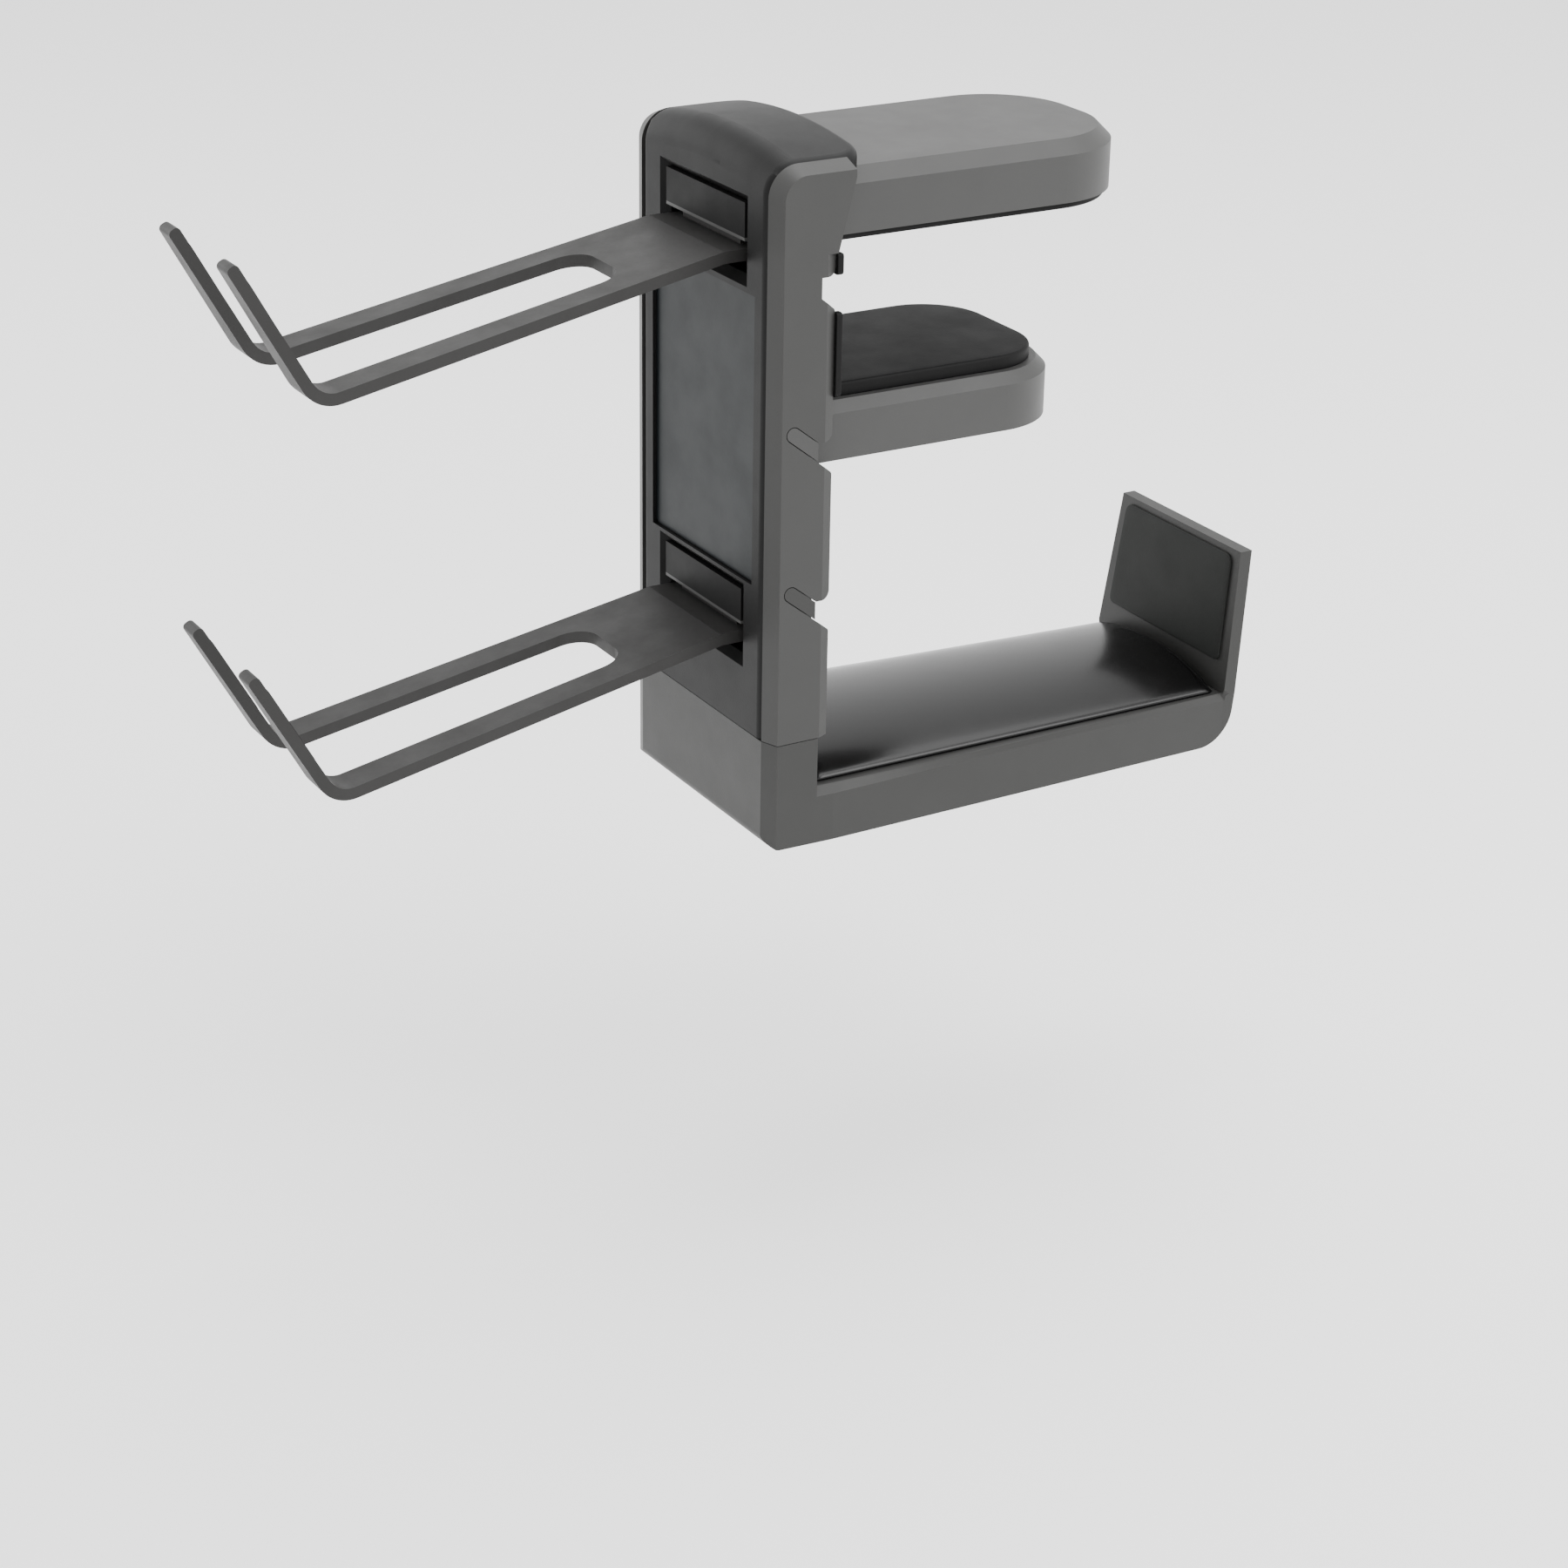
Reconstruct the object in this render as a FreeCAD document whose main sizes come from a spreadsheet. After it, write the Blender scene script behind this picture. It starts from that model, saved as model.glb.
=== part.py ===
import FreeCAD, Part
import math
import os
import Sketcher

# Desk-edge hanger: a clamp on the desk, two folding forks for game controllers
# and a cushioned tray for headphones.  Lengths in mm.
# x = 0 is the middle of the post, y = 0 the face of the desk edge (+y into the desk),
# z = 0 the top of the desk.

doc = FreeCAD.newDocument("hanger")
sheet = doc.addObject("Spreadsheet::Sheet", "Sizes")

# Sizes a user would change; levels are given as distances from the desk top or desk edge.
DRIVING = {
    # post: a channel open towards the desk
    "post_width": 83,
    "post_front": 21,
    "post_back": 2,
    "post_drop": 141.8,
    "post_shoulder": 24.3,
    "post_wall": 3,
    "front_wall": 2.8,
    "roof_top": 21.2,
    "roof_bottom": 15.6,
    "flare_out": 3.2,
    "flare_start": 0.2,
    "flare_end": 20,
    "top_bend": 9,
    "band_wide": 5.6,
    "band_deep": 2.1,
    "lip_long": 3.2,
    "lip_deep": 1.5,
    # slanted slots in the side walls
    "slot_tilt": 38,
    "slot_wide": 4.6,
    "slot_pitch": 46.7,
    "slot_nose_in": 15.2,
    "slot_nose_down": 49.7,
    "slot_mouth": 7,
    "slot_gap": 0.25,
    "slot_skin": 0.8,
    "mouth_round": 2.4,
    "slot_edge_round": 1.2,
    # front cover and the panel let into it
    "cover_width": 71.4,
    "cover_gap": 0.2,
    "cover_thick": 3,
    "cover_crown": 28,
    "cover_rear": 10.5,
    "panel_width": 58.6,
    "panel_top": 13,
    "panel_thick": 1.2,
    "panel_sunk": 1.2,
    # hinge pockets behind the windows in the cover
    "window_width": 45,
    "window_top": 11.5,
    "window_low": 9,
    "window_bevel": 2.4,
    "box_wall": 1.6,
    "box_back": 9.4,
    "hinge_in": 16,
    "hinge_up": 0.4,
    "hinge_drop": 111.5,
    "pin_radius": 1.5,
    "pin_slack": 0.06,
    # dark hood that closes the top of a window, and the bar along its lower edge
    "hood_set_in": 0.6,
    "hood_thick": 1,
    "hood_low": 1.6,
    "hood_gap": 0.15,
    "bar_high": 0.9,
    # upper arm
    "arm_width": 66,
    "arm_reach": 105.7,
    "arm_top": 19.7,
    "arm_chamfer": 4,
    "arm_round": 28,
    "pad_thick": 2,
    "pad_inset": 1.6,
    "root_back": 3,
    "pad_edge": 0.6,
    "root_front": 9.2,
    "root_drop": 16,
    "cheek_inner": 27.4,
    # lower jaw
    "jaw_width": 68,
    "jaw_reach": 84,
    "jaw_top_down": 45.4,
    "jaw_high": 16.6,
    "jaw_chamfer": 3,
    "jaw_round": 24,
    "jaw_pad_thick": 4,
    "jaw_pad_inset": 5,
    # forks
    "fork_side_slack": 1,
    "barrel_shoulder": 5.1,
    "barrel_wall": 0.75,
    "barrel_high": 2.8,
    "fork_tip_half": 25,
    "fork_thick": 3.4,
    "fork_level": 3.4,
    "fork_knee": 26,
    "fork_reach": 148,
    "fork_fall": 23,
    "fork_bend": 7,
    "finger_lean": 29,
    "finger_long": 45.8,
    "finger_wide": 10,
    "finger_top_wide": 6.4,
    "prong_start": 52,
    "liner_thick": 1.4,
    "liner_long": 27,
    "liner_wide": 5.6,
    # headphone tray
    "tray_top": 158,
    "tray_high": 16.6,
    "tray_fall": 3,
    "tray_reach": 145.5,
    "tray_tip_half": 34,
    "tray_rim": 2.3,
    "tray_bend": 12,
    "upturn_top": 116,
    "upturn_lean": 6.4,
    "upturn_thick": 4.2,
    "upturn_top_half": 31,
    "stem_back": 5.5,
    "wall_pad_thick": 1.4,
    "saddle_rise": 8,
    "saddle_inset": 3.2,
    "lining_thick": 1.1,
    "tang_top": 90,
    "tray_toe": 3.5,
    # rubber strips on the back edges of the side walls
    "bumper_high_start": 0.5,
    "bumper_high_end": 6.5,
    "bumper_low_start": 17,
    "bumper_low_end": 41,
    # small rounded edges
    "cap_corner": 9,
    "cap_roll_radius": 2.8,
    "panel_round": 1.5,
    # screws
    "screw_radius": 1.45,
    "screw_head_radius": 2.8,
    "screw_head_high": 1.8,
    "screw_slack": 0.12,
    "screw_socket": 1,
    "arm_screw_x": 30.4,
    "arm_screw_down": 11,
    "cover_screw_x": 32.5,
    "cover_screw_high": 25,
    "cover_screw_low": 85,
    "hook_screw_x": 31,
    "hook_screw_down": 130,
    # length of a cut that goes right through
    "through": 400,
}

# Sizes that follow from the ones above.
DERIVED = {
    "post_half": "post_width / 2",
    "lip_start": "post_back + lip_long",
    "lip_inner": "post_half - lip_deep",
    "channel_half": "post_half - post_wall",
    "channel_front": "post_front - cover_thick - cover_gap - front_wall",
    "cover_half": "cover_width / 2",
    "cover_seat_half": "cover_half + cover_gap",
    "cover_seat_width": "2 * cover_seat_half",
    "cover_seat": "post_front - cover_thick - cover_gap",
    "cover_back": "post_front - cover_thick",
    "cover_under": "roof_top + 0.1",
    "cover_over_arm": "arm_top + 0.2",
    "cover_step": "flare_out + 0.3",
    "arch_drop": "cover_crown - post_shoulder - 0.2",
    "arch_radius": "(cover_half * cover_half + arch_drop * arch_drop) / (2 * arch_drop)",
    "arch_side": "cover_crown - arch_drop",
    "slot_cos": "cos(slot_tilt)",
    "slot_sin": "sin(slot_tilt)",
    "slot_half": "slot_wide / 2",
    "nose_up_y": "0 - slot_nose_in + slot_half * slot_sin",
    "nose_low_y": "0 - slot_nose_in - slot_half * slot_sin",
    "nose_z": "0 - slot_nose_down",
    "mid_up_z": "nose_z + slot_half * slot_cos",
    "mid_low_z": "nose_z - slot_half * slot_cos",
    "mouth_y": "0 - slot_mouth",
    "mid_mouth_z": "mid_up_z - (mouth_y - nose_up_y) * slot_sin / slot_cos",
    "slot_out_y": "2 - post_back",
    "mid_out_z": "mid_low_z - (slot_out_y - nose_low_y) * slot_sin / slot_cos",
    "mid_end_z": "mid_low_z - (mouth_y - nose_low_y) * slot_sin / slot_cos",
    "mid_edge_z": "mid_low_z - (0 - post_back - nose_low_y) * slot_sin / slot_cos",
    "slot_blind": "post_wall - slot_skin",
    "rib_half": "slot_half - slot_gap",
    "rib_up_y": "0 - slot_nose_in + rib_half * slot_sin",
    "rib_low_y": "0 - slot_nose_in - rib_half * slot_sin",
    "rib_up_z": "nose_z + rib_half * slot_cos",
    "rib_low_z": "nose_z - rib_half * slot_cos",
    "rib_end_y": "0 - slot_mouth - slot_gap",
    "rib_end_up_z": "rib_up_z - (rib_end_y - rib_up_y) * slot_sin / slot_cos",
    "rib_end_low_z": "rib_low_z - (rib_end_y - rib_low_y) * slot_sin / slot_cos",
    "neck_front_y": "0 - channel_front + 0.4",
    "neck_up_z": "rib_up_z - (neck_front_y - rib_up_y) * slot_sin / slot_cos",
    "neck_low_z": "rib_low_z - (neck_front_y - rib_low_y) * slot_sin / slot_cos",
    "rib_face": "channel_half + 0.25",
    "window_half": "window_width / 2",
    "panel_half": "panel_width / 2",
    "panel_end": "hinge_drop - window_top - 3.5",
    "panel_floor": "post_front - panel_sunk - panel_thick",
    "window_cut_deep": "cover_thick * 4",
    "panel_plate_half": "panel_half - cover_gap",
    "panel_plate_top": "panel_top + cover_gap",
    "panel_plate_end": "panel_end - cover_gap",
    "box_inner_half": "window_half + cover_gap",
    "box_half": "box_inner_half + box_wall",
    "box_hole_half": "box_half + cover_gap / 2",
    "box_front": "cover_back - cover_gap / 2",
    "hood_front": "post_front - hood_set_in",
    "hood_rear": "hood_front - hood_thick",
    "hood_root": "box_front - 1.4",
    "hood_width": "2 * (window_half - hood_gap)",
    "box_deep": "box_front - box_back",
    "box_inner_back": "box_back + box_wall",
    "pin_bore": "pin_radius + pin_slack",
    "pin_length": "2 * (box_half - cover_gap)",
    "pin_seat_length": "2 * (box_half - cover_gap / 2)",
    "arm_half": "arm_width / 2",
    "arm_step": "flare_out + 0.4",
    "arm_root_top": "roof_bottom - 0.3",
    "arm_root_end": "arm_step + 0.1",
    "arm_pad_half": "arm_half - pad_inset",
    "arm_pad_reach": "arm_reach - pad_inset",
    "arm_pad_start": "0 - root_back / 2",
    "arm_pad_round": "arm_round - pad_inset",
    "arm_high": "arm_top - pad_thick",
    "root_middle": "(root_back + root_front) / 2",
    "arm_cheek_high": "root_drop + arm_root_top",
    "arm_neck_start": "arm_half - 1",
    "arm_screw_seat": "root_back + screw_head_high + 0.4",
    "arm_screw_cut": "channel_front - arm_screw_seat + 1",
    "rib_outer_length": "post_half - rib_face",
    "arm_neck_long": "rib_face - arm_neck_start",
    "arm_rib_long": "rib_outer_length - slot_skin - slot_gap",
    "jaw_neck_start": "jaw_half - 1",
    "jaw_neck_long": "rib_face - jaw_neck_start",
    "hook_neck_start": "tang_half - 1",
    "hook_neck_long": "rib_face - hook_neck_start",
    "jaw_half": "jaw_width / 2",
    "jaw_bottom_down": "jaw_top_down + jaw_high",
    "jaw_front": "channel_front - 0.5",
    "jaw_pad_half": "jaw_half - jaw_pad_inset",
    "jaw_pad_reach": "jaw_reach - jaw_pad_inset",
    "jaw_pad_level": "jaw_top_down - jaw_pad_thick",
    "jaw_pad_round": "jaw_round - jaw_pad_inset",
    "jaw_pad_start": "2",
    "bumper_inner": "channel_half + 0.1",
    "bumper_outer": "post_half - 0.2",
    "cover_screw_tip": "cover_back + cover_thick * 0.75",
    "stem_top": "post_drop + 0.2",
    "tray_bottom": "tray_top + tray_high",
    "tray_tip_top": "tray_top + tray_fall",
    "tray_tip_bottom": "tray_bottom + tray_fall",
    "lean_tan": "tan(upturn_lean)",
    "upturn_rise": "tray_tip_top - upturn_top",
    "upturn_in_top_y": "tray_reach + upturn_rise * lean_tan",
    "upturn_out_top_y": "upturn_in_top_y + upturn_thick",
    "upturn_out_low_y": "tray_reach + upturn_thick - tray_high * lean_tan",
    "lining_low": "tray_tip_top - saddle_rise - 1",
    "lining_high": "upturn_top + 1.6",
    "wall_pad_front": "stem_back - wall_pad_thick",
    "tang_half": "channel_half - 2",
    "screw_bore": "screw_radius + screw_slack",
    "screw_sink_deep": "screw_head_high + 1",
    "head_bore": "screw_head_radius + 0.2",
    "tang_front": "root_front",
    "hook_cheek_top": "tang_top + 1",
    "hook_screw_seat": "stem_back + screw_head_high + 0.4",
    "hook_screw_cut": "channel_front - hook_screw_seat + 1",
    # forks: the underside of the arm drops by slope, the fingers lean outwards by lean
    "fork_under": "fork_level + fork_thick / 2",
    "fork_width": "2 * fork_tip_half",
    "fork_back": "hinge_in - 3.4",
    "fork_root_half": "window_half - fork_side_slack",
    "barrel_half": "fork_root_half - barrel_shoulder",
    "barrel_front": "hinge_in + pin_bore + barrel_wall",
    "barrel_cut_front": "barrel_front + 1",
    "slope_long": "sqrt((fork_reach - fork_knee) * (fork_reach - fork_knee) + fork_fall * fork_fall)",
    "slope_cos": "(fork_reach - fork_knee) / slope_long",
    "slope_sin": "fork_fall / slope_long",
    "lean_cos": "cos(finger_lean)",
    "lean_sin": "sin(finger_lean)",
    "crook_share": "fork_thick / (1 + lean_sin * slope_cos - lean_cos * slope_sin)",
    "fork_knee_top": "fork_knee + fork_thick * slope_sin / (1 + slope_cos)",
    "fork_crook": "fork_reach - crook_share * (lean_cos - slope_sin)",
    "finger_out": "fork_reach + finger_long * lean_sin",
    "finger_in": "finger_out - fork_thick * lean_cos",
    "fork_heel_round": "fork_bend + fork_thick",
    "finger_tip_round": "fork_thick * 0.4",
    "gap_tip_half": "fork_tip_half - finger_wide",
    "gap_root_half": "gap_tip_half - 1.6",
    "throat_round": "gap_root_half * 0.6",
    "finger_side_out": "fork_tip_half - (finger_wide - finger_top_wide) / 2",
    "finger_side_in": "gap_tip_half + (finger_wide - finger_top_wide) / 2",
    "liner_inner": "fork_tip_half - finger_wide / 2 - liner_wide / 2",
    "liner_end": "finger_long - 4",
    "liner_start": "liner_end - liner_long",
    "liner_face": "fork_thick + liner_thick",
    "liner_low_y": "fork_reach + liner_start * lean_sin - fork_thick * lean_cos",
    "liner_high_y": "fork_reach + liner_end * lean_sin - fork_thick * lean_cos",
    "liner_low_face_y": "fork_reach + liner_start * lean_sin - liner_face * lean_cos",
    "liner_high_face_y": "fork_reach + liner_end * lean_sin - liner_face * lean_cos",
    "through_twice": "2 * through",
    "band_near_x": "post_half - 2 * band_wide",
    "band_near_y": "0 - post_front - band_deep",
    "band_far_x": "post_half + 2 * band_wide",
    "band_far_y": "0 - post_front + 3 * band_deep",
    "tang_thick": "tang_front - stem_back",
    "hook_cheek_deep": "jaw_front - stem_back",
    "wall_pad_half": "tang_half",
    "wall_pad_low": "tray_top - 0.2",
    "wall_pad_high": "stem_top + 0.3",
    "saddle_half": "post_half - saddle_inset - 0.8",
    "saddle_tip_half": "tray_tip_half - saddle_inset",
    "saddle_side": "tray_top - 2.4",
    "saddle_base": "tray_tip_top + 2",
    "saddle_drop": "saddle_rise - 2.4",
    "saddle_radius": "(saddle_half * saddle_half + saddle_drop * saddle_drop) / (2 * saddle_drop)",
    "saddle_start": "wall_pad_front - 0.2",
    "saddle_long": "saddle_start + tray_reach - lining_thick - 0.2",
    "lining_low_y": "tray_reach + (tray_tip_top - lining_low) * lean_tan",
    "lining_high_y": "tray_reach + (tray_tip_top - lining_high) * lean_tan",
    "lining_low_face": "lining_low_y - lining_thick",
    "lining_high_face": "lining_high_y - lining_thick",
    "lining_width": "2 * (upturn_top_half - 1.2)",
    "arm_screw_seat_rest": "arm_screw_seat - screw_head_high",
    "arm_screw_long": "front_wall * 0.9 + channel_front - arm_screw_seat",
    "cover_screw_seat": "channel_front",
    "cover_screw_seat_rest": "cover_screw_seat - screw_head_high",
    "cover_screw_long": "cover_screw_tip - channel_front - 0.2",
    "hook_screw_seat_rest": "hook_screw_seat - screw_head_high",
    "hook_screw_long": "front_wall * 0.9 + channel_front - hook_screw_seat",
}

# The slots and the ribs that fill them come in three levels, one pitch apart.
LEVELS = {"top": "slot_pitch", "mid": "0", "low": "0 - slot_pitch"}
for level, shift in LEVELS.items():
    for corner in ("up", "low", "mouth", "out", "end", "edge"):
        DERIVED["%s_slot_%s" % (level, corner)] = "mid_%s_z + %s" % (corner, shift)
    DERIVED["%s_nose" % level] = "nose_z + " + shift
    for corner in ("rib_up", "rib_low", "rib_end_up", "rib_end_low", "neck_up", "neck_low"):
        DERIVED["%s_%s" % (level, corner)] = "%s_z + %s" % (corner, shift)
# Levels that come twice: around the upper hinge and again around the lower one.
HINGE_LEVELS = {
    "window_head": "window_top",
    "window_sill": "0 - window_low",
    "inner_roof": "window_top + cover_gap",
    "inner_floor": "0 - window_low - cover_gap",
    "box_roof": "window_top + cover_gap + box_wall",
    "box_floor": "0 - window_low - cover_gap - box_wall",
    "hole_roof": "window_top + cover_gap * 1.5 + box_wall",
    "hole_floor": "0 - window_low - cover_gap * 1.5 - box_wall",
    "pin_level": "hinge_up",
    "fork_hook": "hinge_up + barrel_high",
    "hood_top": "window_top - hood_gap",
    "hood_under": "window_top - hood_gap - hood_thick",
    "hood_clip": "window_top + cover_gap + 0.4",
    "hood_foot": "hood_low",
    "bar_foot": "hood_low - bar_high",
    "barrel_cut_top": "hinge_up + barrel_high + 1",
    "fork_upper": "0 - fork_level + fork_thick / 2",
    "fork_lower": "0 - fork_under",
    "heel": "0 - fork_under - fork_fall",
    "crook": "0 - fork_under - fork_fall + crook_share * (slope_cos + lean_sin)",
    "tip_out": "0 - fork_under - fork_fall + finger_long * lean_cos",
    "tip_in": "0 - fork_under - fork_fall + finger_long * lean_cos + fork_thick * lean_sin",
    "taper_low": "0 - fork_fall",
    "taper_high": "0 - fork_fall + finger_long",
    "liner_low": "0 - fork_under - fork_fall + liner_start * lean_cos + fork_thick * lean_sin",
    "liner_high": "0 - fork_under - fork_fall + liner_end * lean_cos + fork_thick * lean_sin",
    "liner_low_face": "0 - fork_under - fork_fall + liner_start * lean_cos + liner_face * lean_sin",
    "liner_high_face": "0 - fork_under - fork_fall + liner_end * lean_cos + liner_face * lean_sin",
}
HINGES = {"upper": "", "lower": " - hinge_drop"}
for hinge, drop in HINGES.items():
    for level, formula in HINGE_LEVELS.items():
        DERIVED["%s_%s" % (hinge, level)] = formula + drop

row = 0
for name, value in DRIVING.items():
    row += 1
    sheet.set("A%d" % row, name)
    sheet.set("B%d" % row, str(value))
    sheet.setAlias("B%d" % row, name)
for name, formula in DERIVED.items():
    row += 1
    sheet.set("A%d" % row, name)
    sheet.set("B%d" % row, "=" + formula)
    sheet.setAlias("B%d" % row, name)
doc.recompute()


def size(name):
    """The value in the sheet; a leading minus gives its opposite."""
    if name == "0":
        return 0.0
    if name.startswith("-"):
        return -float(sheet.get(name[1:]))
    return float(sheet.get(name))


def ref(name):
    """The same value as an expression for a property."""
    if name == "0":
        return "0"
    if name.startswith("-"):
        return "-Sizes." + name[1:]
    return "Sizes." + name




def new_body(label):
    body = doc.addObject("PartDesign::Body", label)
    body.Label = label
    body.AllowCompound = True
    return body


def outline(body, name, role, corners, level=None):
    """A closed outline on one of the body's origin planes, shifted by level along its normal."""
    sketch = body.newObject("Sketcher::SketchObject", name)
    for feature in body.Origin.OriginFeatures:
        if feature.Role == role:
            sketch.AttachmentSupport = [(feature, "")]
    sketch.MapMode = "FlatFace"
    if level is not None:
        sketch.setExpression(".AttachmentOffset.Base.z", ref(level))
    count = len(corners)
    points = [FreeCAD.Vector(size(p), size(q), 0) for p, q in corners]
    for i in range(count):
        sketch.addGeometry(Part.LineSegment(points[i], points[(i + 1) % count]), False)
    for i in range(count):
        sketch.addConstraint(Sketcher.Constraint("Coincident", i, 2, (i + 1) % count, 1))
    for i, corner in enumerate(corners):
        for kind, letter, part in (("DistanceX", "p", 0), ("DistanceY", "q", 1)):
            label = "%s%d" % (letter, i)
            value = size(corner[part])
            index = sketch.addConstraint(Sketcher.Constraint(kind, -1, 1, i, 1, value))
            sketch.renameConstraint(index, label)
            sketch.setExpression("Constraints." + label, ref(corner[part]))
    return sketch


def ring(body, name, role, centre, radius, level=None):
    """A circle on one of the body's origin planes."""
    sketch = body.newObject("Sketcher::SketchObject", name)
    for feature in body.Origin.OriginFeatures:
        if feature.Role == role:
            sketch.AttachmentSupport = [(feature, "")]
    sketch.MapMode = "FlatFace"
    if level is not None:
        sketch.setExpression(".AttachmentOffset.Base.z", ref(level))
    middle = FreeCAD.Vector(size(centre[0]), size(centre[1]), 0)
    circle = Part.Circle(middle, FreeCAD.Vector(0, 0, 1), size(radius))
    sketch.addGeometry(circle, False)
    for kind, label, part in (("DistanceX", "p", 0), ("DistanceY", "q", 1)):
        index = sketch.addConstraint(Sketcher.Constraint(kind, -1, 1, 0, 3, size(centre[part])))
        sketch.renameConstraint(index, label)
        sketch.setExpression("Constraints." + label, ref(centre[part]))
    index = sketch.addConstraint(Sketcher.Constraint("Radius", 0, size(radius)))
    sketch.renameConstraint(index, "r")
    sketch.setExpression("Constraints.r", ref(radius))
    return sketch


def swept(body, kind, name, sketch, length, side="One side", turned=False):
    """A pad or a pocket of a sketch."""
    feature = body.newObject("PartDesign::" + kind, name)
    feature.Profile = sketch
    feature.SideType = side
    feature.Reversed = turned
    feature.setExpression("Length", ref(length))
    doc.recompute()
    return feature


def mirrored(body, name, features):
    feature = body.newObject("PartDesign::Mirrored", name)
    feature.Originals = features
    for plane in body.Origin.OriginFeatures:
        if plane.Role == "YZ_Plane":
            feature.MirrorPlane = (plane, [""])
    body.Tip = feature
    doc.recompute()
    return feature


def edges_where(shape, test):
    return ["Edge%d" % (i + 1) for i, edge in enumerate(shape.Edges) if test(edge.BoundBox)]


def rounded(body, name, base, radius, test):
    feature = body.newObject("PartDesign::Fillet", name)
    feature.Base = (base, edges_where(base.Shape, test))
    feature.setExpression("Radius", ref(radius))
    body.Tip = feature
    doc.recompute()
    return feature


def bevelled(body, name, base, width, test, second=None, flip=False):
    feature = body.newObject("PartDesign::Chamfer", name)
    feature.Base = (base, edges_where(base.Shape, test))
    feature.setExpression("Size", ref(width))
    if second is not None:
        feature.ChamferType = "Two distances"
        feature.setExpression("Size2", ref(second))
        feature.FlipDirection = flip
    body.Tip = feature
    doc.recompute()
    return feature


NEAR = 0.02


def at(value, target):
    return abs(value - target) < NEAR


def thin(length):
    return length < NEAR


def bow_outline(body, name, half, edge, back, radius, level=None):
    """An outline with an arc bulging upwards between x = -half and x = half at height edge."""
    sketch = body.newObject("Sketcher::SketchObject", name)
    for feature in body.Origin.OriginFeatures:
        if feature.Role == "XZ_Plane":
            sketch.AttachmentSupport = [(feature, "")]
    sketch.MapMode = "FlatFace"
    if level is not None:
        sketch.setExpression(".AttachmentOffset.Base.z", ref(level))
    reach = size(half)
    rise = size(radius) - math.sqrt(size(radius) ** 2 - reach ** 2)
    left = FreeCAD.Vector(-reach, size(edge), 0)
    right = FreeCAD.Vector(reach, size(edge), 0)
    middle = FreeCAD.Vector(0, size(edge) + rise, 0)
    left_end = FreeCAD.Vector(-reach, size(back), 0)
    right_end = FreeCAD.Vector(reach, size(back), 0)
    sketch.addGeometry(Part.Arc(left, middle, right), False)
    sketch.addGeometry(Part.LineSegment(right, right_end), False)
    sketch.addGeometry(Part.LineSegment(right_end, left_end), False)
    sketch.addGeometry(Part.LineSegment(left_end, left), False)
    arc_ends = {end: sketch.getPoint(0, end) for end in (1, 2)}
    right_point = 1 if arc_ends[1].x > 0 else 2
    sketch.addConstraint(Sketcher.Constraint("Coincident", 0, right_point, 1, 1))
    sketch.addConstraint(Sketcher.Constraint("Coincident", 1, 2, 2, 1))
    sketch.addConstraint(Sketcher.Constraint("Coincident", 2, 2, 3, 1))
    sketch.addConstraint(Sketcher.Constraint("Coincident", 3, 2, 0, 3 - right_point))
    opposite = half[1:] if half.startswith("-") else "-" + half
    places = ((1, 1, half, edge), (2, 1, half, back), (3, 1, opposite, back), (3, 2, opposite, edge))
    for line, end, across, up in places:
        for kind, letter, value in (("DistanceX", "p", across), ("DistanceY", "q", up)):
            label = "%s%d%d" % (letter, line, end)
            index = sketch.addConstraint(Sketcher.Constraint(kind, -1, 1, line, end, size(value)))
            sketch.renameConstraint(index, label)
            sketch.setExpression("Constraints." + label, ref(value))
    index = sketch.addConstraint(Sketcher.Constraint("Radius", 0, size(radius)))
    sketch.renameConstraint(index, "bow")
    sketch.setExpression("Constraints.bow", ref(radius))
    return sketch


def box_outline(half, low, high):
    """A rectangle centred on x = 0 between two levels."""
    return [("-" + half, low), (half, low), (half, high), ("-" + half, high)]


def slot_outline(level):
    """The corners of a slanted slot in the side wall, open at the back."""
    mouth = level + "_slot_mouth"
    return [("nose_up_y", level + "_slot_up"), ("mouth_y", mouth), ("slot_out_y", mouth),
            ("slot_out_y", level + "_slot_out"), ("nose_low_y", level + "_slot_low")]


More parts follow.
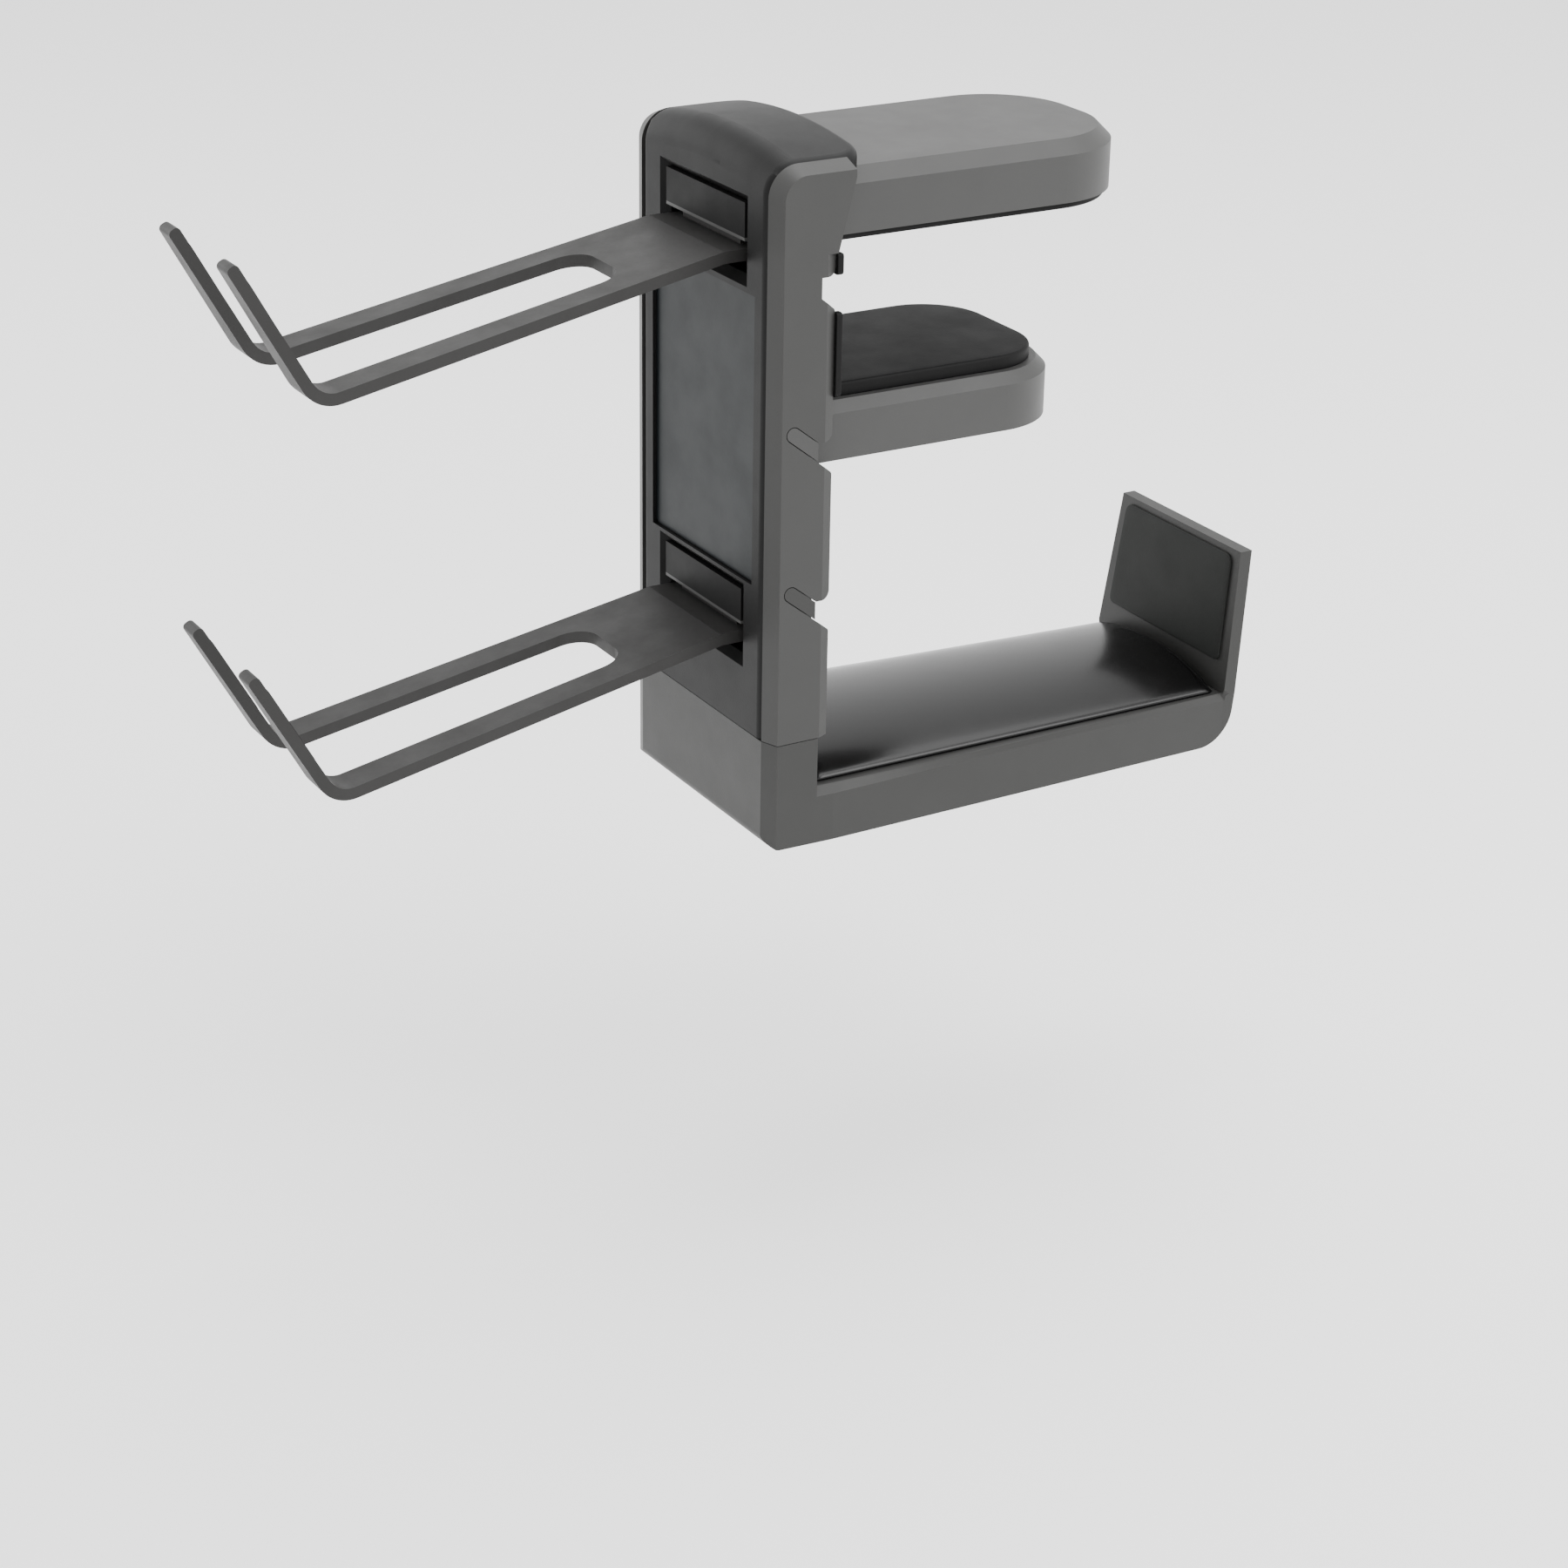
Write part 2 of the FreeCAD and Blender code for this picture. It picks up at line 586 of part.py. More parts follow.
def make_spine():
    """The channel-shaped post: side walls with slanted slots, open towards the desk."""
    body = new_body("spine")
    side = outline(body, "spine_side", "YZ_Plane", [
        ("-post_front", "-post_drop"), ("-post_back", "-post_drop"),
        ("-post_back", "-flare_start"), ("flare_out", "flare_end"),
        ("flare_out", "post_shoulder"), ("-post_front", "post_shoulder")])
    block = swept(body, "Pad", "spine_block", side, "post_width", "Symmetric")
    half = size("post_half")
    front = -size("post_front")
    shoulder = size("post_shoulder")
    reach = size("top_bend") + NEAR
    bend = rounded(body, "spine_bend", block, "top_bend",
                   lambda b: at(b.YMin, front) and at(b.YMax, front) and at(b.ZMin, shoulder))

    def outer_corner(b):
        on_side = thin(b.XLength) and at(abs(b.XMin), half)
        on_front = at(b.YMin, front) and b.YMax < front + reach
        on_top = at(b.ZMax, shoulder) and b.ZMin > shoulder - reach and not thin(b.YLength)
        return on_side and (on_front or on_top)

    bevelled(body, "spine_band", bend, "band_wide", outer_corner, "band_deep")
    channel = outline(body, "spine_channel", "XY_Plane", [
        ("-channel_half", "-channel_front"), ("channel_half", "-channel_front"),
        ("channel_half", "through"), ("-channel_half", "through")], "roof_bottom")
    swept(body, "Pocket", "channel_cut", channel, "through")
    seat = outline(body, "cover_seat_side", "YZ_Plane", [
        ("-through", "-through"), ("-cover_seat", "-through"), ("-cover_seat", "roof_top"),
        ("through", "roof_top"), ("through", "through"), ("-through", "through")])
    swept(body, "Pocket", "cover_seat_cut", seat, "cover_seat_width", "Symmetric")
    for hinge in HINGES:
        hole = box_outline("box_hole_half", hinge + "_hole_floor", hinge + "_hole_roof")
        opening = outline(body, hinge + "_box_hole", "XZ_Plane", hole, "channel_front")
        swept(body, "Pocket", hinge + "_box_cut", opening, "through", turned=True)
    cuts = []
    for level in LEVELS:
        deep = "slot_blind" if level == "top" else "through"
        slot = outline(body, level + "_slot", "YZ_Plane", slot_outline(level), "channel_half")
        cuts.append(swept(body, "Pocket", level + "_slot_cut", slot, deep, turned=True))
        nose = ring(body, level + "_slot_nose", "YZ_Plane", ("-slot_nose_in", level + "_nose"),
                    "slot_half", "channel_half")
        cuts.append(swept(body, "Pocket", level + "_nose_cut", nose, deep, turned=True))
    mouth = outline(body, "top_slot_notch", "YZ_Plane", [
        ("mouth_y", "top_slot_mouth"), ("slot_out_y", "top_slot_mouth"),
        ("slot_out_y", "top_slot_out"), ("mouth_y", "top_slot_end")], "channel_half")
    cuts.append(swept(body, "Pocket", "top_notch_cut", mouth, "through", turned=True))
    slots = mirrored(body, "slots_both_sides", cuts)
    back = -size("post_back")
    mouths = [size(level + "_slot_mouth") for level in LEVELS]
    outs = [size(level + "_slot_edge") for level in LEVELS]
    above = rounded(body, "mouth_corners", slots, "mouth_round",
                    lambda b: thin(b.YLength) and thin(b.ZLength) and at(b.YMin, back)
                    and any(at(b.ZMin, z) for z in mouths))
    rounded(body, "slot_edge_corners", above, "slot_edge_round",
            lambda b: thin(b.YLength) and thin(b.ZLength) and at(b.YMin, back)
            and any(at(b.ZMin, z) for z in outs))
    lip = outline(body, "spine_lip", "XY_Plane", [
        ("post_half", "-lip_start"), ("through", "-lip_start"), ("through", "0"),
        ("lip_inner", "0"), ("lip_inner", "-post_back")], "-flare_start")
    lip_cut = swept(body, "Pocket", "spine_lip_cut", lip, "through")
    mirrored(body, "spine_lips", [lip_cut])
    for name, across, level in (("arm_pilots", "arm_screw_x", "-arm_screw_down"),
                                ("cover_pilots_top", "cover_screw_x", "-cover_screw_high"),
                                ("cover_pilots_low", "cover_screw_x", "-cover_screw_low"),
                                ("hook_pilots", "hook_screw_x", "-hook_screw_down")):
        hole = ring(body, name, "XZ_Plane", (across, level), "screw_bore", "channel_front")
        cut = swept(body, "Pocket", name + "_cut", hole, "through", turned=True)
        mirrored(body, name + "_pair", [cut])
    return body


def make_cover():
    """Front frame and domed cap in one piece, hooked over the top of the post."""
    body = new_body("front_cover")
    side = outline(body, "cover_side", "YZ_Plane", [
        ("-post_front", "-post_drop"), ("-cover_back", "-post_drop"),
        ("-cover_back", "cover_under"), ("cover_step", "cover_under"),
        ("cover_step", "cover_over_arm"), ("cover_rear", "cover_over_arm"),
        ("cover_rear", "cover_crown"), ("-post_front", "cover_crown")])
    block = swept(body, "Pad", "cover_block", side, "cover_width", "Symmetric")
    half = size("cover_half")
    front = -size("post_front")
    rear = size("cover_rear")
    crown = size("cover_crown")
    edge_level = size("arch_side")
    corners = rounded(body, "cap_corners", block, "cap_corner",
                      lambda b: thin(b.XLength) and thin(b.YLength) and at(b.YMin, rear))
    arch = bow_outline(body, "cap_arch", "cover_half", "arch_side", "through", "arch_radius")
    domed = swept(body, "Pocket", "cap_dome", arch, "through", "Symmetric")
    bend = rounded(body, "cap_bend", domed, "top_bend",
                   lambda b: at(b.YMin, front) and at(b.YMax, front) and b.ZMin > edge_level - NEAR)
    cap_foot = edge_level - size("top_bend") - NEAR
    cap_front = front + size("top_bend") + NEAR
    rounded(body, "cap_roll", bend, "cap_roll_radius",
            lambda b: b.ZMin > cap_foot and b.ZMax > edge_level - NEAR
            and b.YMax > cap_front and not (thin(b.XLength) and thin(b.YLength)))
    for hinge in HINGES:
        hole = box_outline("window_half", hinge + "_window_sill", hinge + "_window_head")
        window = outline(body, hinge + "_window", "XZ_Plane", hole, "cover_back")
        swept(body, "Pocket", hinge + "_window_cut", window, "window_cut_deep", turned=True)
        sill = size(hinge + "_window_sill")
        head = size(hinge + "_window_head")
        inner = size("window_half")
        bevelled(body, hinge + "_window_lip", body.Tip, "window_bevel",
                 lambda b: at(b.YMin, front) and at(b.YMax, front)
                 and abs(b.XMin) < inner + NEAR and abs(b.XMax) < inner + NEAR
                 and b.ZMin > sill - NEAR and b.ZMax < head + NEAR)
    recess = outline(body, "panel_recess", "XZ_Plane",
                     box_outline("panel_half", "-panel_end", "-panel_top"), "panel_floor")
    swept(body, "Pocket", "panel_recess_cut", recess, "through", turned=True)
    for name, level in (("cover_holes_top", "-cover_screw_high"), ("cover_holes_low", "-cover_screw_low")):
        hole = ring(body, name, "XZ_Plane", ("cover_screw_x", level), "screw_bore", "cover_screw_tip")
        cut = swept(body, "Pocket", name + "_cut", hole, "through")
        mirrored(body, name + "_pair", [cut])
    return body


def make_panel():
    """The dark plate let into the front frame between the two windows."""
    body = new_body("front_panel")
    face = outline(body, "panel_face", "XZ_Plane",
                   box_outline("panel_plate_half", "-panel_plate_end", "-panel_plate_top"), "panel_floor")
    plate = swept(body, "Pad", "panel_plate", face, "panel_thick")
    rounded(body, "panel_corners", plate, "panel_round",
            lambda b: thin(b.XLength) and thin(b.ZLength))
    return body


def make_hinge_box(label, hinge):
    """An open-fronted pocket behind a window, with bores for the hinge pin."""
    body = new_body(label)
    outer = outline(body, label + "_outer", "XZ_Plane",
                    box_outline("box_half", hinge + "_box_floor", hinge + "_box_roof"), "box_back")
    swept(body, "Pad", label + "_block", outer, "box_deep")
    inner = outline(body, label + "_inner", "XZ_Plane",
                    box_outline("box_inner_half", hinge + "_inner_floor", hinge + "_inner_roof"),
                    "box_inner_back")
    swept(body, "Pocket", label + "_hollow", inner, "through", turned=True)
    bore = ring(body, label + "_bore", "YZ_Plane", ("-hinge_in", hinge + "_pin_level"), "pin_bore")
    swept(body, "Pocket", label + "_bore_cut", bore, "pin_seat_length", "Symmetric")
    hood = outline(body, label + "_hood", "YZ_Plane", [
        ("-hood_front", hinge + "_hood_foot"), ("-hood_rear", hinge + "_hood_foot"),
        ("-hood_rear", hinge + "_hood_under"), ("-hood_root", hinge + "_hood_under"),
        ("-hood_root", hinge + "_hood_clip"), ("-box_front", hinge + "_hood_clip"),
        ("-box_front", hinge + "_hood_top"), ("-hood_front", hinge + "_hood_top")])
    swept(body, "Pad", label + "_hood_plate", hood, "hood_width", "Symmetric")
    return body


def make_window_bar(label, hinge):
    """The thin trim bar under the hood of a window."""
    body = new_body(label)
    side = outline(body, label + "_side", "YZ_Plane", [
        ("-hood_front", hinge + "_bar_foot"), ("-hood_rear", hinge + "_bar_foot"),
        ("-hood_rear", hinge + "_hood_foot"), ("-hood_front", hinge + "_hood_foot")])
    swept(body, "Pad", label + "_strip", side, "hood_width", "Symmetric")
    return body


def make_pin(label, hinge):
    """A steel hinge pin held between the pocket and the cover."""
    body = new_body(label)
    face = ring(body, label + "_face", "YZ_Plane", ("-hinge_in", hinge + "_pin_level"), "pin_radius")
    swept(body, "Pad", label + "_rod", face, "pin_length", "Symmetric")
    return body


def make_bar(label, half, start, reach, bottom, height, corner_radius, chamfer):
    """A flat bar with a rounded end and a bevelled upper rim, reaching into the desk."""
    body = new_body(label)
    plan = outline(body, label + "_plan", "XY_Plane", [
        ("-" + half, start), (half, start), (half, reach), ("-" + half, reach)], bottom)
    block = swept(body, "Pad", label + "_block", plan, height)
    tip = size(reach)
    round_end = rounded(body, label + "_end", block, corner_radius,
                        lambda b: thin(b.XLength) and thin(b.YLength) and at(b.YMin, tip))
    top = size(bottom) + size(height)
    first = size(start)
    bevelled(body, label + "_rim", round_end, chamfer,
             lambda b: at(b.ZMin, top) and at(b.ZMax, top) and b.YMax > first + NEAR)
    return body


def add_ribs(body, level, start, neck_long, outer_long="rib_outer_length"):
    """A pair of slanted ribs filling the slots of one level, mirrored to both sides."""
    blade = outline(body, level + "_rib_blade", "YZ_Plane", [
        ("rib_up_y", level + "_rib_up"), ("rib_end_y", level + "_rib_end_up"),
        ("rib_end_y", level + "_rib_end_low"), ("rib_low_y", level + "_rib_low")], "rib_face")
    outer = swept(body, "Pad", level + "_rib", blade, outer_long)
    nose = ring(body, level + "_rib_nose", "YZ_Plane", ("-slot_nose_in", level + "_nose"),
                "rib_half", "rib_face")
    rounded_nose = swept(body, "Pad", level + "_rib_end", nose, outer_long)
    neck = outline(body, level + "_rib_neck", "YZ_Plane", [
        ("neck_front_y", level + "_neck_up"), ("rib_end_y", level + "_rib_end_up"),
        ("rib_end_y", level + "_rib_end_low"), ("neck_front_y", level + "_neck_low")], start)
    inner = swept(body, "Pad", level + "_neck", neck, neck_long)
    return mirrored(body, level + "_ribs", [outer, rounded_nose, inner])


def add_screw_holes(body, name):
    """A mirrored pair of screw holes, counterbored from the desk side."""
    centre = (name + "_screw_x", "-%s_screw_down" % name)
    hole = ring(body, name + "_screw_hole", "XZ_Plane", centre, "screw_bore", name + "_screw_seat")
    cut = swept(body, "Pocket", name + "_hole_cut", hole, name + "_screw_cut", turned=True)
    sink = ring(body, name + "_screw_sink", "XZ_Plane", centre, "head_bore", name + "_screw_seat")
    sink_cut = swept(body, "Pocket", name + "_sink_cut", sink, "screw_sink_deep")
    return mirrored(body, name + "_screw_holes", [cut, sink_cut])


def make_arm():
    """The upper clamp arm, its root held in the channel by ribs and two screws."""
    body = make_bar("clamp_arm", "arm_half", "arm_step", "arm_reach", "pad_thick",
                    "arm_high", "arm_round", "arm_chamfer")
    root = outline(body, "arm_root_side", "YZ_Plane", [
        ("-root_front", "-root_drop"), ("-root_back", "-root_drop"), ("-root_back", "pad_thick"),
        ("arm_root_end", "pad_thick"), ("arm_root_end", "arm_root_top"), ("-root_front", "arm_root_top")])
    swept(body, "Pad", "arm_root", root, "arm_width", "Symmetric")
    cheek = outline(body, "arm_cheek_plan", "XY_Plane", [
        ("cheek_inner", "-jaw_front"), ("arm_half", "-jaw_front"),
        ("arm_half", "-root_middle"), ("cheek_inner", "-root_middle")], "-root_drop")
    pad = swept(body, "Pad", "arm_cheek", cheek, "arm_cheek_high")
    mirrored(body, "arm_cheeks", [pad])
    add_ribs(body, "top", "arm_neck_start", "arm_neck_long", "arm_rib_long")
    add_screw_holes(body, "arm")
    return body


def make_arm_pad():
    """The rubber under the arm."""
    body = new_body("clamp_arm_pad")
    plan = outline(body, "arm_pad_plan", "XY_Plane", [
        ("-arm_pad_half", "arm_pad_start"), ("arm_pad_half", "arm_pad_start"),
        ("arm_pad_half", "arm_pad_reach"), ("-arm_pad_half", "arm_pad_reach")])
    block = swept(body, "Pad", "arm_pad_block", plan, "pad_thick")
    tip = size("arm_pad_reach")
    ends = rounded(body, "arm_pad_end", block, "arm_pad_round",
                   lambda b: thin(b.XLength) and thin(b.YLength) and at(b.YMin, tip))
    rounded(body, "arm_pad_edge", ends, "pad_edge", lambda b: at(b.ZMin, 0) and at(b.ZMax, 0))
    return body


def make_jaw():
    """The lower jaw that slides along the middle pair of slots."""
    body = make_bar("jaw", "jaw_half", "-jaw_front", "jaw_reach", "-jaw_bottom_down",
                    "jaw_high", "jaw_round", "jaw_chamfer")
    add_ribs(body, "mid", "jaw_neck_start", "jaw_neck_long")
    return body


def make_jaw_pad():
    """The rubber on top of the jaw."""
    body = new_body("jaw_pad")
    plan = outline(body, "jaw_pad_plan", "XY_Plane", [
        ("-jaw_pad_half", "jaw_pad_start"), ("jaw_pad_half", "jaw_pad_start"),
        ("jaw_pad_half", "jaw_pad_reach"), ("-jaw_pad_half", "jaw_pad_reach")], "-jaw_top_down")
    block = swept(body, "Pad", "jaw_pad_block", plan, "jaw_pad_thick")
    tip = size("jaw_pad_reach")
    ends = rounded(body, "jaw_pad_end", block, "jaw_pad_round",
                   lambda b: thin(b.XLength) and thin(b.YLength) and at(b.YMin, tip))
    top = -size("jaw_pad_level")
    rounded(body, "jaw_pad_edge", ends, "pad_edge", lambda b: at(b.ZMin, top) and at(b.ZMax, top))
    return body


def make_bumpers():
    """Rubber strips on the back edges of the side walls, touching the desk edge."""
    body = new_body("edge_bumpers")
    pads = []
    for name, low, high in (("high", "-bumper_high_end", "-bumper_high_start"),
                            ("low", "-bumper_low_end", "-bumper_low_start")):
        face = outline(body, name + "_bumper", "XZ_Plane", [
            ("bumper_inner", low), ("bumper_outer", low), ("bumper_outer", high), ("bumper_inner", high)])
        pads.append(swept(body, "Pad", name + "_bumper_pad", face, "post_back"))
    mirrored(body, "bumpers_both_sides", pads)
    return body


def make_fork(label, hinge):
    """A flat arm with two prongs that bend up into leaning fingers, hooked behind the hinge pin."""
    body = new_body(label)
    side = outline(body, label + "_side", "YZ_Plane", [
        ("-fork_back", hinge + "_fork_lower"), ("-fork_knee", hinge + "_fork_lower"),
        ("-fork_reach", hinge + "_heel"), ("-finger_out", hinge + "_tip_out"),
        ("-finger_in", hinge + "_tip_in"), ("-fork_crook", hinge + "_crook"),
        ("-fork_knee_top", hinge + "_fork_upper"), ("-barrel_front", hinge + "_fork_upper"),
        ("-barrel_front", hinge + "_fork_hook"), ("-fork_back", hinge + "_fork_hook")])
    block = swept(body, "Pad", label + "_block", side, "fork_width", "Symmetric")
    crook = -size("fork_crook")
    heel = -size("fork_reach")
    inner = rounded(body, label + "_crook", block, "fork_bend",
                    lambda b: thin(b.YLength) and thin(b.ZLength) and at(b.YMin, crook))
    outer = rounded(body, label + "_heel", inner, "fork_heel_round",
                    lambda b: thin(b.YLength) and thin(b.ZLength) and at(b.YMin, heel))
    ends = (-size("finger_out"), -size("finger_in"), -size("fork_back"))
    hook = size(hinge + "_fork_hook")
    rounded(body, label + "_ends", outer, "finger_tip_round",
            lambda b: thin(b.YLength) and thin(b.ZLength)
            and (any(at(b.YMin, y) for y in ends) or at(b.ZMin, hook)))
    gap = outline(body, label + "_gap", "XY_Plane", [
        ("-gap_root_half", "-prong_start"), ("-gap_tip_half", "-fork_reach"),
        ("-gap_tip_half", "-through"), ("gap_tip_half", "-through"),
        ("gap_tip_half", "-fork_reach"), ("gap_root_half", "-prong_start")])
    cut = swept(body, "Pocket", label + "_gap_cut", gap, "through_twice", "Symmetric")
    start = -size("prong_start")
    rounded(body, label + "_throat", cut, "throat_round",
            lambda b: thin(b.XLength) and at(b.YMin, start) and at(b.YMax, start))
    plan = outline(body, label + "_flank", "XY_Plane", [
        ("fork_root_half", "through"), ("fork_root_half", "-post_front"),
        ("fork_tip_half", "-fork_reach"), ("through", "-fork_reach"), ("through", "through")])
    flank = swept(body, "Pocket", label + "_flank_cut", plan, "through_twice", "Symmetric")
    taper = outline(body, label + "_taper", "XZ_Plane", [
        ("fork_tip_half", hinge + "_taper_low"), ("finger_side_out", hinge + "_taper_high"),
        ("through", hinge + "_taper_high"), ("through", hinge + "_taper_low")], "fork_crook")
    outside = swept(body, "Pocket", label + "_taper_cut", taper, "through", turned=True)
    taper_in = outline(body, label + "_taper_in", "XZ_Plane", [
        ("gap_tip_half", hinge + "_taper_low"), ("finger_side_in", hinge + "_taper_high"),
        ("0", hinge + "_taper_high"), ("0", hinge + "_taper_low")], "fork_crook")
    inside = swept(body, "Pocket", label + "_taper_in_cut", taper_in, "through", turned=True)
    beside = outline(body, label + "_barrel_side", "YZ_Plane", [
        ("-barrel_cut_front", hinge + "_fork_upper"), ("0", hinge + "_fork_upper"),
        ("0", hinge + "_barrel_cut_top"), ("-barrel_cut_front", hinge + "_barrel_cut_top")],
        "barrel_half")
    shoulder = swept(body, "Pocket", label + "_barrel_cut", beside, "through", turned=True)
    mirrored(body, label + "_both_sides", [flank, outside, inside, shoulder])
    bore = ring(body, label + "_bore", "YZ_Plane", ("-hinge_in", hinge + "_pin_level"), "pin_bore")
    swept(body, "Pocket", label + "_bore_cut", bore, "through_twice", "Symmetric")
    return body


def make_finger_pads(label, hinge):
    """Rubber liners on the faces of the fingers that look towards the post."""
    body = new_body(label)
    plate = outline(body, label + "_side", "YZ_Plane", [
        ("-liner_low_y", hinge + "_liner_low"), ("-liner_high_y", hinge + "_liner_high"),
        ("-liner_high_face_y", hinge + "_liner_high_face"),
        ("-liner_low_face_y", hinge + "_liner_low_face")], "liner_inner")
    strip = swept(body, "Pad", label + "_strip", plate, "liner_wide")
    mirrored(body, label + "_pair", [strip])
    return body


def make_hook():
    """The foot of the post with the headphone tray and its upturned end."""
    body = new_body("hook_body")
    side = outline(body, "hook_side", "YZ_Plane", [
        ("-post_front", "-stem_top"), ("-stem_back", "-stem_top"), ("-stem_back", "-tray_top"),
        ("tray_reach", "-tray_tip_top"), ("upturn_in_top_y", "-upturn_top"),
        ("upturn_out_top_y", "-upturn_top"), ("upturn_out_low_y", "-tray_tip_bottom"),
        ("-post_front", "-tray_bottom")])
    block = swept(body, "Pad", "hook_block", side, "post_width", "Symmetric")
    toe_y = size("upturn_out_low_y")
    front = -size("post_front")
    low = -size("tray_bottom")
    tip_high = -size("tray_tip_top")
    turn = rounded(body, "hook_turn", block, "tray_bend",
                   lambda b: thin(b.YLength) and thin(b.ZLength) and at(b.YMin, toe_y))
    toe = rounded(body, "hook_toe", turn, "tray_toe",
                  lambda b: thin(b.YLength) and thin(b.ZLength) and at(b.YMin, front) and at(b.ZMin, low))
    plan = outline(body, "hook_plan", "XY_Plane", [
        ("post_half", "0"), ("tray_tip_half", "tray_reach"), ("tray_tip_half", "through"),
        ("through", "through"), ("through", "0")])
    flank = swept(body, "Pocket", "hook_flank_cut", plan, "through_twice", "Symmetric")
    upturn = outline(body, "hook_upturn", "XZ_Plane", [
        ("tray_tip_half", "-tray_tip_top"), ("upturn_top_half", "-upturn_top"),
        ("upturn_top_half", "0"), ("through", "0"), ("through", "-tray_tip_top")], "-tray_reach")
    upper = swept(body, "Pocket", "hook_upturn_cut", upturn, "through")
    both = mirrored(body, "hook_both_flanks", [flank, upper])
    high = -size("tray_top")
    bevelled(body, "hook_rim", both, "tray_rim",
             lambda b: b.YMax < size("tray_reach") + NEAR and b.YLength > 5 and b.ZLength > 0.05
             and b.ZMax < high + NEAR and b.ZMin > tip_high - NEAR)
    band = outline(body, "hook_band", "XY_Plane", [
        ("band_near_x", "band_near_y"), ("band_far_x", "band_near_y"),
        ("band_far_x", "band_far_y")], "-post_drop")
    band_cut = swept(body, "Pocket", "hook_band_cut", band, "through")
    mirrored(body, "hook_bands", [band_cut])
    tang = outline(body, "tang_face", "XZ_Plane", box_outline("tang_half", "-tray_top", "-tang_top"),
                   "stem_back")
    swept(body, "Pad", "tang_plate", tang, "tang_thick")
    cheek = outline(body, "hook_cheek_face", "XZ_Plane", [
        ("cheek_inner", "-tray_top"), ("tang_half", "-tray_top"),
        ("tang_half", "-hook_cheek_top"), ("cheek_inner", "-hook_cheek_top")], "stem_back")
    pad = swept(body, "Pad", "hook_cheek", cheek, "hook_cheek_deep")
    mirrored(body, "hook_cheeks", [pad])
    add_ribs(body, "low", "hook_neck_start", "hook_neck_long")
    add_screw_holes(body, "hook")
    return body


def make_wall_pad():
    """The thin rubber on the stem behind the headphones."""
    body = new_body("hook_wall_pad")
    face = outline(body, "wall_pad_face", "XZ_Plane",
                   box_outline("wall_pad_half", "-wall_pad_low", "-wall_pad_high"), "wall_pad_front")
    swept(body, "Pad", "wall_pad_plate", face, "wall_pad_thick")
    return body


def make_saddle():
    """The arched cushion that fills the tray."""
    body = new_body("saddle_pad")
    face = bow_outline(body, "saddle_arch", "saddle_half", "-saddle_side", "-saddle_base",
                       "saddle_radius", "saddle_start")
    block = swept(body, "Pad", "saddle_block", face, "saddle_long", turned=True)
    under = outline(body, "saddle_under", "YZ_Plane", [
        ("-through", "-tray_top"), ("-stem_back", "-tray_top"), ("tray_reach", "-tray_tip_top"),
        ("through", "-tray_tip_top"), ("through", "-through"), ("-through", "-through")])
    swept(body, "Pocket", "saddle_floor", under, "through_twice", "Symmetric")
    plan = outline(body, "saddle_plan", "XY_Plane", [
        ("saddle_half", "0"), ("saddle_tip_half", "tray_reach"), ("saddle_tip_half", "through"),
        ("through", "through"), ("through", "0")])
    flank = swept(body, "Pocket", "saddle_flank_cut", plan, "through_twice", "Symmetric")
    mirrored(body, "saddle_flanks", [flank])
    return body


def make_upturn_pad():
    """The lining on the face of the upturned end."""
    body = new_body("upturn_pad")
    side = outline(body, "upturn_pad_side", "YZ_Plane", [
        ("lining_low_y", "-lining_low"), ("lining_high_y", "-lining_high"),
        ("lining_high_face", "-lining_high"), ("lining_low_face", "-lining_low")])
    swept(body, "Pad", "upturn_pad_block", side, "lining_width", "Symmetric")
    return body


def make_screws(label, places, seat, long):
    """Socket-head screws pointing away from the desk, one solid each."""
    body = new_body(label)
    features = []
    for number, place in enumerate(places):
        name = "%s_%d" % (label, number)
        head = ring(body, name + "_head", "XZ_Plane", place, "screw_head_radius", seat + "_rest")
        top = swept(body, "Pad", name + "_head_disc", head, "screw_head_high")
        shank = ring(body, name + "_shank", "XZ_Plane", place, "screw_radius", seat)
        rod = swept(body, "Pad", name + "_shank_rod", shank, long)
        socket = ring(body, name + "_socket", "XZ_Plane", place, "screw_radius", seat + "_rest")
        drive = swept(body, "Pocket", name + "_socket_cut", socket, "screw_socket", turned=True)
        features += [top, rod, drive]
    mirrored(body, label + "_pair", features)
    return body


def build_all():
    make_spine()
    make_cover()
    make_panel()
    make_hinge_box("upper_pivot_box", "upper")
    make_hinge_box("lower_pivot_box", "lower")
    make_arm()
    make_arm_pad()
    make_screws("arm_screws", [("arm_screw_x", "-arm_screw_down")], "arm_screw_seat",
                "arm_screw_long")
    make_jaw()
    make_jaw_pad()
    make_bumpers()
    make_screws("cover_screws", [("cover_screw_x", "-cover_screw_high"),
                                 ("cover_screw_x", "-cover_screw_low")],
                "cover_screw_seat", "cover_screw_long")
    make_hook()
    make_screws("hook_screws", [("hook_screw_x", "-hook_screw_down")], "hook_screw_seat",
                "hook_screw_long")
    make_saddle()
    make_wall_pad()
    make_upturn_pad()
    for hinge in HINGES:
        make_fork(hinge + "_fork", hinge)
        make_pin(hinge + "_hinge_pin", hinge)
        make_window_bar(hinge + "_window_bar", hinge)
        make_finger_pads(hinge + "_finger_pads", hinge)


build_all()
doc.recompute()
for item in doc.Objects:
    if "Invalid" in item.State or "Error" in item.State:
        raise RuntimeError("feature not built: %s %s" % (item.Name, item.State))

os.makedirs("parts", exist_ok=True)
for item in doc.Objects:
    if item.TypeId == "PartDesign::Body":
        if item.Shape.isNull() or not item.Shape.isValid():
            raise RuntimeError("sub-part not sound: " + item.Label)
        item.Shape.exportStep("parts/%s.step" % item.Label)
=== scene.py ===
import math

import bpy
import numpy as np
from mathutils import Matrix, Vector


